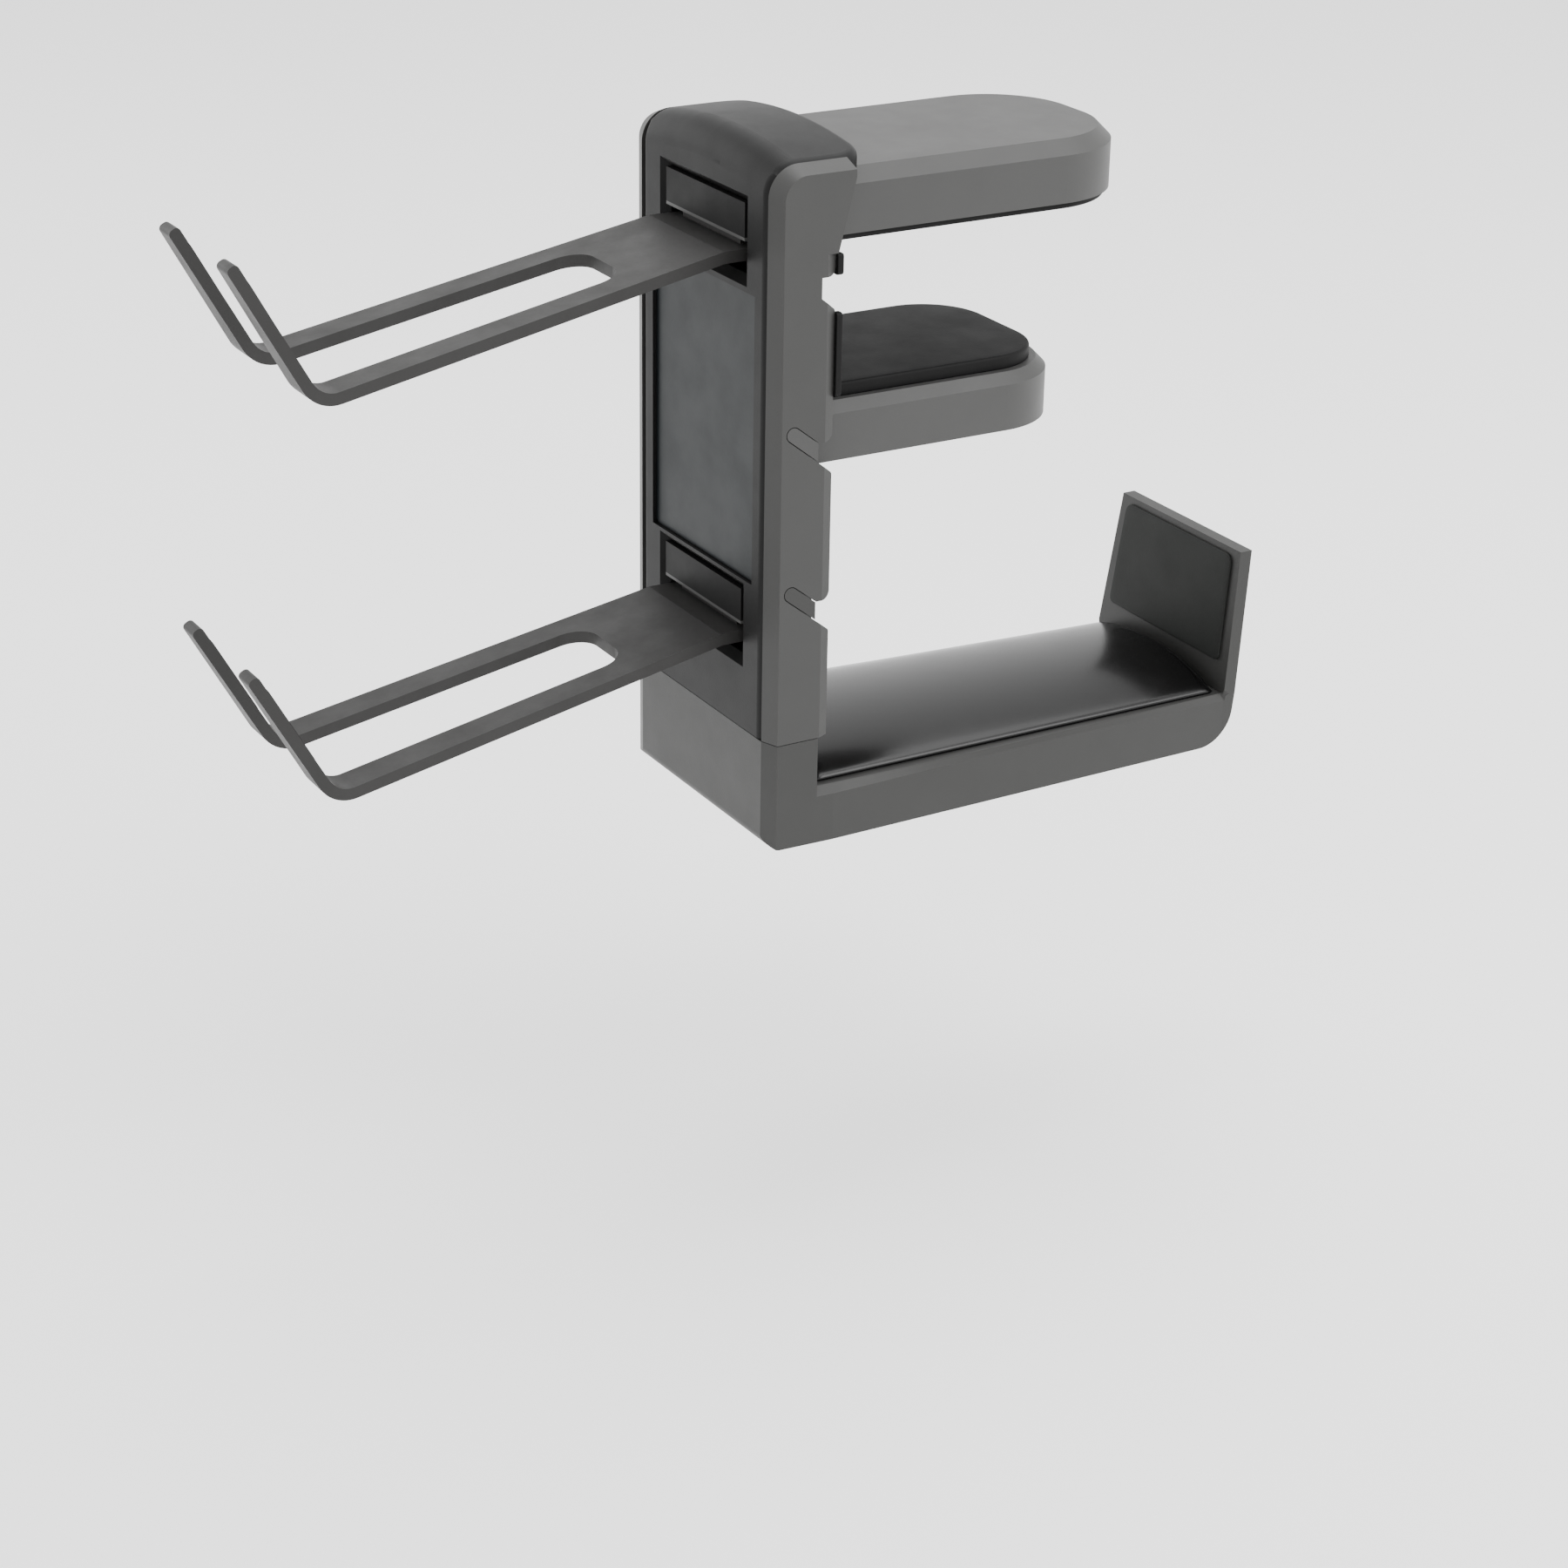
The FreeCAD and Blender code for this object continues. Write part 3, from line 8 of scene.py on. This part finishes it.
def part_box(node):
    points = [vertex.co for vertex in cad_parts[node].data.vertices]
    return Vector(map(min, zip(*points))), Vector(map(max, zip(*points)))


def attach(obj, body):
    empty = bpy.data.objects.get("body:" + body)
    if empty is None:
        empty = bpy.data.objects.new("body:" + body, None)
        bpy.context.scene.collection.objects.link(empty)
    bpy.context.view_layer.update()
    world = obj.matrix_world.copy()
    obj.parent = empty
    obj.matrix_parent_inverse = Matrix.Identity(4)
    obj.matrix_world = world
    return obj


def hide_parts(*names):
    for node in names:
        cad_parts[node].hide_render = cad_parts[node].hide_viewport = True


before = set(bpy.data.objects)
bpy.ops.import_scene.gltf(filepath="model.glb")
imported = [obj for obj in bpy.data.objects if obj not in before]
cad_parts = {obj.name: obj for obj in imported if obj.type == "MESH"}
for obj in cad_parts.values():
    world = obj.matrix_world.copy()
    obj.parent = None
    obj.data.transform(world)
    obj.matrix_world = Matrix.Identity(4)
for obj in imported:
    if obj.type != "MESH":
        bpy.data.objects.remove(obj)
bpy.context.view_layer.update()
print("frame loaded:", len(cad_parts), "nodes")

mm = 0.001


# nodeSet is a small shorthand: a node of a kind with its fixed inputs filled in

def nodeSet(tree, kind, **inputs):
    node = tree.nodes.new(kind)
    for name, value in inputs.items():
        node.inputs[name.replace("_", " ")].default_value = value
    return node


def newMaterial(name):
    material = bpy.data.materials.new(name)
    material.use_nodes = True
    tree = material.node_tree
    tree.nodes.clear()
    shader = tree.nodes.new("ShaderNodeBsdfPrincipled")
    output = tree.nodes.new("ShaderNodeOutputMaterial")
    tree.links.new(shader.outputs["BSDF"], output.inputs["Surface"])
    return material, tree, shader


def noiseField(tree, coords, scale, detail=3.0, rough=0.5):
    field = nodeSet(tree, "ShaderNodeTexNoise", Scale=scale, Detail=detail, Roughness=rough)
    tree.links.new(coords, field.inputs["Vector"])
    return field.outputs["Fac"]


def rampBetween(tree, value, low, high, dark, light):
    ramp = tree.nodes.new("ShaderNodeValToRGB")
    ramp.color_ramp.elements[0].position = low
    ramp.color_ramp.elements[0].color = (*dark, 1)
    ramp.color_ramp.elements[1].position = high
    ramp.color_ramp.elements[1].color = (*light, 1)
    tree.links.new(value, ramp.inputs["Fac"])
    return ramp.outputs["Color"]


def levelBetween(tree, value, low, high):
    # a noise field keeps mostly between these two values
    level = nodeSet(tree, "ShaderNodeMapRange", From_Min=0.3, From_Max=0.7, To_Min=low,
                    To_Max=high)
    tree.links.new(value, level.inputs["Value"])
    return level.outputs["Result"]


# moulded plastic and rubber: a cloudy colour, a roughness that changes over the part,
# fine spark-eroded grain, and a softer waviness under it
def mouldedMaterial(name, look):
    material, tree, shader = newMaterial(name)
    coords = tree.nodes.new("ShaderNodeTexCoord").outputs["Object"]
    cloud = noiseField(tree, coords, look["cloudScale"], 4.0)
    dark = tuple(c * (1 - look["mottle"]) for c in look["colour"])
    light = tuple(c * (1 + look["mottle"]) for c in look["colour"])
    colour = rampBetween(tree, cloud, 0.35, 0.65, dark, light)
    tree.links.new(colour, shader.inputs["Base Color"])
    smear = noiseField(tree, coords, look["smearScale"], 5.0, 0.6)
    rough = levelBetween(tree, smear, look["roughLow"], look["roughHigh"])
    tree.links.new(rough, shader.inputs["Roughness"])
    grain = noiseField(tree, coords, look["grainScale"], 2.0)
    wave = noiseField(tree, coords, look["waveScale"], 1.0)
    under = nodeSet(tree, "ShaderNodeBump", Strength=look["waveBump"], Distance=look["waveDepth"])
    tree.links.new(wave, under.inputs["Height"])
    over = nodeSet(tree, "ShaderNodeBump", Strength=look["grainBump"], Distance=look["grainDepth"])
    tree.links.new(grain, over.inputs["Height"])
    tree.links.new(under.outputs["Normal"], over.inputs["Normal"])
    tree.links.new(over.outputs["Normal"], shader.inputs["Normal"])
    shader.inputs["Specular IOR Level"].default_value = look["specular"]
    shader.inputs["Sheen Weight"].default_value = look["sheen"]
    shader.inputs["Sheen Roughness"].default_value = 0.5
    shader.inputs["Coat Weight"].default_value = look["coat"]
    shader.inputs["Coat Roughness"].default_value = 0.12
    return material


# drawn steel: fine lines along x, brighter and duller streaks
def drawnSteelMaterial(name, look):
    material, tree, shader = newMaterial(name)
    coords = tree.nodes.new("ShaderNodeTexCoord").outputs["Object"]
    stretch = tree.nodes.new("ShaderNodeMapping")
    stretch.inputs["Scale"].default_value = look["stretch"]
    tree.links.new(coords, stretch.inputs["Vector"])
    lines = noiseField(tree, stretch.outputs["Vector"], look["lineScale"], 3.0)
    dark = tuple(c * 0.8 for c in look["colour"])
    colour = rampBetween(tree, lines, 0.3, 0.7, dark, look["colour"])
    tree.links.new(colour, shader.inputs["Base Color"])
    rough = levelBetween(tree, lines, look["roughLow"], look["roughHigh"])
    tree.links.new(rough, shader.inputs["Roughness"])
    bump = nodeSet(tree, "ShaderNodeBump", Strength=0.2, Distance=0.00002)
    tree.links.new(lines, bump.inputs["Height"])
    tree.links.new(bump.outputs["Normal"], shader.inputs["Normal"])
    shader.inputs["Metallic"].default_value = 1.0
    return material


plasticBase = {
    "cloudScale": 45, "mottle": 0.03, "smearScale": 70, "roughLow": 0.44, "roughHigh": 0.50,
    "grainScale": 2600, "grainBump": 0.32, "grainDepth": 0.00006,
    "waveScale": 60, "waveBump": 0.04, "waveDepth": 0.0002,
    "specular": 0.3, "sheen": 0.0, "coat": 0.0,
}
looks = {
    "postPlastic": {**plasticBase, "colour": (0.030, 0.030, 0.029)},
    # painted shade: the front cover gets a near-black colour, much darker than the post, standing in
    # for the shade on its front faces, which turn away from the key light
    "framePaintedShadePlastic": {**plasticBase, "colour": (0.005, 0.005, 0.005), "specular": 0.15},
    "armPlastic": {**plasticBase, "colour": (0.040, 0.040, 0.039)},
    "forkPlastic": {**plasticBase, "colour": (0.014, 0.0135, 0.013), "roughLow": 0.44,
                    "roughHigh": 0.60},
    "trayPlastic": {**plasticBase, "colour": (0.022, 0.022, 0.021)},
    "trimPlastic": {**plasticBase, "colour": (0.050, 0.050, 0.049)},
    "panelPlastic": {**plasticBase, "colour": (0.003, 0.005, 0.006), "roughLow": 0.36,
                     "roughHigh": 0.46, "grainBump": 0.15, "specular": 0.18},
    "pocketPlastic": {**plasticBase, "colour": (0.003, 0.003, 0.003), "roughLow": 0.5,
                      "roughHigh": 0.6, "specular": 0.15},
    "padRubber": {**plasticBase, "specular": 0.15, "colour": (0.003, 0.003, 0.003), "roughLow": 0.6,
                  "roughHigh": 0.68, "grainScale": 1500, "grainBump": 0.45, "sheen": 0.0},
    "liningRubber": {**plasticBase, "specular": 0.2, "colour": (0.008, 0.009, 0.008), "roughLow": 0.56,
                     "roughHigh": 0.62, "grainScale": 1700, "grainBump": 0.4},
    "cushionRubber": {**plasticBase, "colour": (0.002, 0.002, 0.002), "roughLow": 0.20,
                      "roughHigh": 0.25, "grainBump": 0.10, "coat": 0.1, "specular": 0.25,
                      "waveBump": 0.05},
}
materials = {name: mouldedMaterial(name, look) for name, look in looks.items()}
materials["pinSteel"] = drawnSteelMaterial("pinSteel", {
    "colour": (0.30, 0.30, 0.30), "stretch": (0.06, 1, 1), "lineScale": 2400,
    "roughLow": 0.22, "roughHigh": 0.38})
materials["screwSteel"] = drawnSteelMaterial("screwSteel", {
    "colour": (0.07, 0.07, 0.075), "stretch": (1, 1, 1), "lineScale": 1800,
    "roughLow": 0.30, "roughHigh": 0.5})
print("materials made:", len(materials))

finishOfNode = {
    "spine": "postPlastic", "front_cover": "framePaintedShadePlastic", "front_panel": "panelPlastic",
    "upper_pivot_box": "pocketPlastic", "lower_pivot_box": "pocketPlastic",
    "clamp_arm": "armPlastic", "jaw": "armPlastic", "hook_body": "trayPlastic",
    "upper_fork": "forkPlastic", "lower_fork": "forkPlastic",
    "upper_hinge_pin": "pinSteel", "lower_hinge_pin": "pinSteel",
    "upper_window_bar": "trimPlastic", "lower_window_bar": "trimPlastic",
    "arm_screws": "screwSteel", "cover_screws": "screwSteel", "hook_screws": "screwSteel",
}
for nodeName, finish in finishOfNode.items():
    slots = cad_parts[nodeName].material_slots
    for slot in slots:
        slot.link = "OBJECT"
        slot.material = materials[finish]
print("finishes on the frame's nodes:", len(finishOfNode))


# meshFromRings: rings is an array (rings, points, 3); neighbouring rings are joined by
# quads and the first and last ring are closed by a fan around their middle
def meshFromRings(name, rings, material):
    count, points = rings.shape[:2]
    verts = rings.reshape(-1, 3)
    ends = np.array([rings[0].mean(axis=0), rings[-1].mean(axis=0)])
    verts = np.vstack([verts, ends])
    k, i = np.meshgrid(np.arange(count - 1), np.arange(points), indexing="ij")
    j = (i + 1) % points
    quads = np.stack([k * points + i, k * points + j, (k + 1) * points + j,
                      (k + 1) * points + i], axis=-1).reshape(-1, 4)
    i = np.arange(points)
    j = (i + 1) % points
    first = np.stack([j, i, np.full(points, len(verts) - 2)], axis=-1)
    last = np.stack([i, j, np.full(points, len(verts) - 1)], axis=-1)
    last[:, :2] += (count - 1) * points
    faces = quads.tolist() + first.tolist() + last.tolist()
    mesh = bpy.data.meshes.new(name)
    mesh.from_pydata(verts.tolist(), [], faces)
    mesh.validate()
    mesh.polygons.foreach_set("use_smooth", [True] * len(mesh.polygons))
    # outward facing whichever way the outline ran
    area = np.zeros(len(mesh.polygons))
    mesh.polygons.foreach_get("area", area)
    centres = np.zeros(len(mesh.polygons) * 3)
    normals = np.zeros(len(mesh.polygons) * 3)
    mesh.polygons.foreach_get("center", centres)
    mesh.polygons.foreach_get("normal", normals)
    volume = (centres.reshape(-1, 3) * normals.reshape(-1, 3)).sum(axis=1) @ area
    if volume < 0:
        mesh.flip_normals()
    piece = bpy.data.objects.new(name, mesh)
    bpy.context.scene.collection.objects.link(piece)
    mesh.materials.append(material)
    return piece


# roundedOutline: a four-sided outline whose corners are replaced by quarter turns.
# corner k sits at corners[k]; the arc runs from the incoming to the outgoing side,
# P(a) = C + r (cos a, sin a), with the angle a going evenly over the turn
def roundedOutline(corners, radii, perCorner=10):
    corners = np.asarray(corners, float)
    before = np.roll(corners, 1, axis=0) - corners
    after = np.roll(corners, -1, axis=0) - corners
    before /= np.linalg.norm(before, axis=1, keepdims=True)
    after /= np.linalg.norm(after, axis=1, keepdims=True)
    bisector = before + after
    bisector /= np.linalg.norm(bisector, axis=1, keepdims=True)
    halfTurn = np.arccos(np.clip((before * bisector).sum(axis=1), -1, 1))
    radii = np.asarray(radii, float)
    centres = corners + bisector * (radii / np.sin(halfTurn))[:, None]
    start = corners + before * (radii / np.tan(halfTurn))[:, None] - centres
    end = corners + after * (radii / np.tan(halfTurn))[:, None] - centres
    a0 = np.arctan2(start[:, 1], start[:, 0])
    turn = np.arctan2(end[:, 1], end[:, 0]) - a0
    turn = (turn + math.pi) % (2 * math.pi) - math.pi
    t = np.linspace(0, 1, perCorner)
    angle = a0[:, None] + turn[:, None] * t[None, :]
    arcs = centres[:, None, :] + radii[:, None, None] * np.stack(
        [np.cos(angle), np.sin(angle)], axis=-1)
    return arcs.reshape(-1, 2)


# evenOutline: the same closed outline with points an even distance apart
def evenOutline(outline, count):
    closed = np.vstack([outline, outline[:1]])
    steps = np.linalg.norm(np.diff(closed, axis=0), axis=1)
    length = np.concatenate([[0], np.cumsum(steps)])
    where = np.linspace(0, length[-1], count, endpoint=False)
    return np.stack([np.interp(where, length, closed[:, k]) for k in (0, 1)], axis=-1)


# padRings: a flat pad.  The outline is drawn towards the inside while it climbs, s going
# a quarter turn at each edge: low edge inset = r (1 - sin s), height = r (1 - cos s),
# high edge inset = r (1 - cos s), height = thickness - r (1 - sin s), then a slow crown
# z = thickness + crown (1 - d^2), d being the share of the way from the middle
def padRings(look, outline):
    outline = evenOutline(outline, look["points"])
    middle = outline.mean(axis=0)
    tangent = np.roll(outline, -1, axis=0) - np.roll(outline, 1, axis=0)
    tangent /= np.linalg.norm(tangent, axis=1, keepdims=True)
    inward = np.stack([-tangent[:, 1], tangent[:, 0]], axis=-1)
    inward *= np.sign(((middle - outline) * inward).sum())
    s = np.linspace(0, math.pi / 2, 7)
    low, high = look["lowRound"], look["highRound"]
    thick = look["thick"]
    inset = np.concatenate([low * (1 - np.sin(s)), high * (1 - np.cos(s))])
    height = np.concatenate([low * (1 - np.cos(s)), thick - high * (1 - np.sin(s))])
    rim = outline[None] + inward[None] * inset[:, None, None]
    share = np.linspace(0, 1, 14)[1:-1]
    inner = middle + (rim[-1] - middle)[None] * (1 - share)[:, None, None]
    crown = thick + look["crown"] * (1 - (1 - share) ** 2)
    flat = np.concatenate([rim, inner])
    level = np.concatenate([height, crown])
    return flat, level


# layPad: carries the flat pad onto a plane given by its origin and three directions
def layPad(name, look, outline, origin, across, along, outwards, material):
    flat, level = padRings(look, outline)
    origin, across, along, outwards = (np.asarray(p, float) for p in
                                       (origin, across, along, outwards))
    rings = (origin + flat[..., :1] * across + flat[..., 1:] * along
             + level[:, None, None] * outwards) * mm
    return meshFromRings(name, rings, material)


def nodeBox(node):
    low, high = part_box(node)
    return np.array(low) / mm, np.array(high) / mm


def armPad():
    look = {"half": 31.4, "reach": 104.1, "backRound": 1.0, "tipRound": 26.0,
            "thick": 2.0, "lowRound": 0.3, "highRound": 0.6, "crown": 0.0, "points": 160}
    low, high = nodeBox("clamp_arm_pad")
    half, back, reach = look["half"], low[1], look["reach"]
    corners = [(-half, back), (half, back), (half, reach), (-half, reach)]
    radii = [look["backRound"]] * 2 + [look["tipRound"]] * 2
    outline = roundedOutline(corners, radii, 16)
    pad = layPad("armPad", look, outline, (0, 0, look["thick"]), (1, 0, 0), (0, 1, 0),
                 (0, 0, -1), materials["padRubber"])
    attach(pad, "post")
    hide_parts("clamp_arm_pad")
    return pad


def jawPad():
    look = {"half": 29.0, "reach": 79.0, "backRound": 1.5, "tipRound": 18.9,
            "thick": 4.0, "lowRound": 0.4, "highRound": 0.9, "crown": 0.0, "points": 150}
    low, high = nodeBox("jaw_pad")
    half, reach = look["half"], look["reach"]
    corners = [(-half, low[1]), (half, low[1]), (half, reach), (-half, reach)]
    radii = [look["backRound"]] * 2 + [look["tipRound"]] * 2
    outline = roundedOutline(corners, radii, 16)
    pad = layPad("jawPad", look, outline, (0, 0, low[2]), (1, 0, 0), (0, 1, 0), (0, 0, 1),
                 materials["padRubber"])
    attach(pad, "jaw_body")
    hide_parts("jaw_pad")
    return pad


# the cushion on the tray: an arch x = w(y) sin(a), with w(y) narrowing evenly, and
# z = floor(y) + edge cos(a)^sidePower + (rise - edge) cos(a)^crownPower, times an
# elliptical fade that rolls both ends down.  floor(y) falls evenly with the tray
def saddleCushion():
    look = {"rootHalf": 36.9, "tipHalf": 31.4, "rise": 7.9, "edge": 1.6, "endRoll": 3.2,
            "endNarrow": 1.2, "sidePower": 0.35, "crownPower": 1.6,
            "trayTop": -158.0, "trayFall": 3.0, "trayStart": -5.5, "trayLong": 151.0,
            "lift": 0.15, "lengthSteps": 90, "archSteps": 61}
    low, high = nodeBox("saddle_pad")
    y = np.linspace(low[1] + 0.05, high[1] - 0.3, look["lengthSteps"])
    end = np.minimum(y - y[0], y[-1] - y)
    fade = np.sqrt(1 - np.clip(1 - end / look["endRoll"], 0, 1) ** 2)
    fade = np.clip(fade, 0.02, 1)
    half = look["rootHalf"] + (look["tipHalf"] - look["rootHalf"]) * (y - y[0]) / (y[-1] - y[0])
    half = half - look["endNarrow"] * (1 - fade)
    fall = look["trayFall"] * (y - look["trayStart"]) / look["trayLong"]
    floor = look["trayTop"] - fall + look["lift"]
    a = np.linspace(-math.pi / 2, math.pi / 2, look["archSteps"])
    x = half[:, None] * np.sin(a)[None]
    side = np.cos(a) ** look["sidePower"] * look["edge"]
    up = side + np.cos(a) ** look["crownPower"] * (look["rise"] - look["edge"])
    z = floor[:, None] + up[None] * fade[:, None]
    top = np.stack([x, np.broadcast_to(y[:, None], x.shape), z], axis=-1)
    under = top[:, ::-1][:, 1:-1].copy()
    under[..., 2] = floor[:, None]
    rings = np.concatenate([top, under], axis=1) * mm
    piece = meshFromRings("saddleCushion", rings, materials["cushionRubber"])
    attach(piece, "post")
    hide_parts("saddle_pad")
    return piece


def upturnLining():
    look = {"lean": 6.4, "lowHalf": 29.3, "highHalf": 27.6, "lowEnd": 9.4, "highEnd": 43.2,
            "lowCorner": 2.0, "highCorner": 3.0, "foot": (0, 145.5, -161.0),
            "thick": 0.85, "lowRound": 0.1, "highRound": 0.35, "crown": 0.15, "points": 160}
    lean = math.radians(look["lean"])
    along = np.array([0, math.sin(lean), math.cos(lean)])
    outwards = np.array([0, -math.cos(lean), math.sin(lean)])
    lowHalf, highHalf = look["lowHalf"], look["highHalf"]
    lowEnd, highEnd = look["lowEnd"], look["highEnd"]
    corners = [(-lowHalf, lowEnd), (lowHalf, lowEnd), (highHalf, highEnd), (-highHalf, highEnd)]
    radii = [look["lowCorner"]] * 2 + [look["highCorner"]] * 2
    outline = roundedOutline(corners, radii, 12)
    lining = layPad("upturnLining", look, outline, look["foot"], (1, 0, 0), along, outwards,
                    materials["liningRubber"])
    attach(lining, "post")
    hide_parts("upturn_pad")
    return lining


def wallPad():
    look = {"half": 36.4, "bottom": -157.7, "top": -142.4, "corner": 1.5, "wall": -5.5,
            "thick": 1.35, "lowRound": 0.1, "highRound": 0.5, "crown": 0.0, "points": 120}
    half, bottom, top = look["half"], look["bottom"], look["top"]
    corners = [(-half, bottom), (half, bottom), (half, top), (-half, top)]
    outline = roundedOutline(corners, [look["corner"]] * 4, 8)
    pad = layPad("hookWallPad", look, outline, (0, look["wall"], 0), (1, 0, 0), (0, 0, 1),
                 (0, 1, 0), materials["padRubber"])
    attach(pad, "post")
    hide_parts("hook_wall_pad")
    return pad


# joined: several pads become one piece
def joined(name, pads):
    bpy.ops.object.select_all(action="DESELECT")
    for pad in pads:
        pad.select_set(True)
    bpy.context.view_layer.objects.active = pads[0]
    bpy.ops.object.join()
    pads[0].name = name
    return pads[0]


def edgeBumpers():
    look = {"strips": [(-6.5, -0.5), (-41.0, -17.0)], "inner": 38.6, "outer": 41.3,
            "corner": 0.8, "back": -2.0,
            "thick": 1.98, "lowRound": 0.15, "highRound": 0.5, "crown": 0.0, "points": 60}
    pads = []
    for side in (-1, 1):
        for bottom, top in look["strips"]:
            inner, outer = side * look["inner"], side * look["outer"]
            corners = [(inner, bottom), (outer, bottom), (outer, top), (inner, top)]
            outline = roundedOutline(corners, [look["corner"]] * 4, 6)
            pads.append(layPad("bumper", look, outline, (0, look["back"], 0), (1, 0, 0),
                               (0, 0, 1), (0, 1, 0), materials["padRubber"]))
    piece = joined("edgeBumpers", pads)
    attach(piece, "post")
    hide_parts("edge_bumpers")
    return piece


def fingerLiners(name, node, body, drop):
    look = {"lean": 29, "heel": (0, -148, -30.2), "fingerThick": 3.4, "low": 14.8, "high": 41.8,
            "inner": 17.3, "outer": 22.7, "corner": 1.6,
            "thick": 1.4, "lowRound": 0.1, "highRound": 0.5, "crown": 0.0, "points": 70}
    lean = math.radians(look["lean"])
    along = np.array([0, -math.sin(lean), math.cos(lean)])
    outwards = np.array([0, math.cos(lean), math.sin(lean)])
    heel = np.array(look["heel"]) - np.array([0, 0, drop]) + outwards * look["fingerThick"]
    low, high = look["low"], look["high"]
    pads = []
    for side in (-1, 1):
        inner, outer = side * look["inner"], side * look["outer"]
        corners = [(inner, low), (outer, low), (outer, high), (inner, high)]
        outline = roundedOutline(corners, [look["corner"]] * 4, 8)
        pads.append(layPad("liner", look, outline, heel, (1, 0, 0), along, outwards,
                           materials["padRubber"]))
    piece = joined(name, pads)
    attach(piece, body)
    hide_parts(node)
    return piece


armPad()
jawPad()
saddleCushion()
upturnLining()
wallPad()
edgeBumpers()
forkDrop = 111.5  # the lower fork sits this far under the upper one
fingerLiners("upperFingerLiners", "upper_finger_pads", "upper_fork_body", 0.0)
fingerLiners("lowerFingerLiners", "lower_finger_pads", "lower_fork_body", forkDrop)
print("pads and cushion made")


studio = {
    "floorLevel": -0.30, "floorHalf": 8.0, "floorColour": (0.95, 0.95, 0.95),
    "worldColour": (1.0, 1.0, 1.0), "worldStrength": 1.7,
    "lights": [
        {"name": "keyLight", "at": (1.2, 0.9, 1.3), "size": 1.3, "power": 34},
        {"name": "topLight", "at": (-0.2, 0.4, 1.5), "size": 1.4, "power": 22},
        {"name": "fillLight", "at": (-1.3, -0.7, 0.4), "size": 1.0, "power": 5},
    ],
}


def buildStudio(look):
    half = look["floorHalf"]
    level = look["floorLevel"]
    mesh = bpy.data.meshes.new("floor")
    mesh.from_pydata([(-half, -half, level), (half, -half, level), (half, half, level),
                      (-half, half, level)], [], [(0, 1, 2, 3)])
    floor = bpy.data.objects.new("floor", mesh)
    bpy.context.scene.collection.objects.link(floor)
    material, tree, shader = newMaterial("paleFloor")
    shader.inputs["Base Color"].default_value = (*look["floorColour"], 1)
    shader.inputs["Roughness"].default_value = 0.9
    mesh.materials.append(material)
    world = bpy.data.worlds.new("studio")
    bpy.context.scene.world = world
    world.use_nodes = True
    background = world.node_tree.nodes["Background"]
    background.inputs["Color"].default_value = (*look["worldColour"], 1)
    background.inputs["Strength"].default_value = look["worldStrength"]
    for light in look["lights"]:
        data = bpy.data.lights.new(light["name"], "AREA")
        data.size = light["size"]
        data.energy = light["power"]
        lamp = bpy.data.objects.new(light["name"], data)
        bpy.context.scene.collection.objects.link(lamp)
        lamp.location = light["at"]
        aim = Vector((0.0, 0.0, -0.06)) - Vector(light["at"])
        lamp.rotation_euler = aim.to_track_quat("-Z", "Y").to_euler()


buildStudio(studio)

# camera: a short telephoto, turned a little about its own axis
eye = {
    "at": (0.8211, -0.4761, 0.2528), "azimuth": 59.48, "elevation": 24.20, "roll": -0.93,
    "lens": 79.75, "sensor": 36.0,
}


def buildCamera(look):
    az, el, roll = (math.radians(look[k]) for k in ("azimuth", "elevation", "roll"))
    back = Vector((math.sin(az) * math.cos(el), -math.cos(az) * math.cos(el), math.sin(el)))
    right = (-back).cross(Vector((0, 0, 1))).normalized()
    down = (-back).cross(right)
    turnedRight = math.cos(roll) * right + math.sin(roll) * down
    turnedDown = -math.sin(roll) * right + math.cos(roll) * down
    data = bpy.data.cameras.new("camera")
    data.lens = look["lens"]
    data.sensor_width = look["sensor"]
    data.clip_start = 0.01
    camera = bpy.data.objects.new("camera", data)
    bpy.context.scene.collection.objects.link(camera)
    turn = Matrix((turnedRight, -turnedDown, back)).transposed()
    camera.matrix_world = Matrix.Translation(look["at"]) @ turn.to_4x4()
    bpy.context.scene.camera = camera


buildCamera(eye)
print("studio and camera ready")
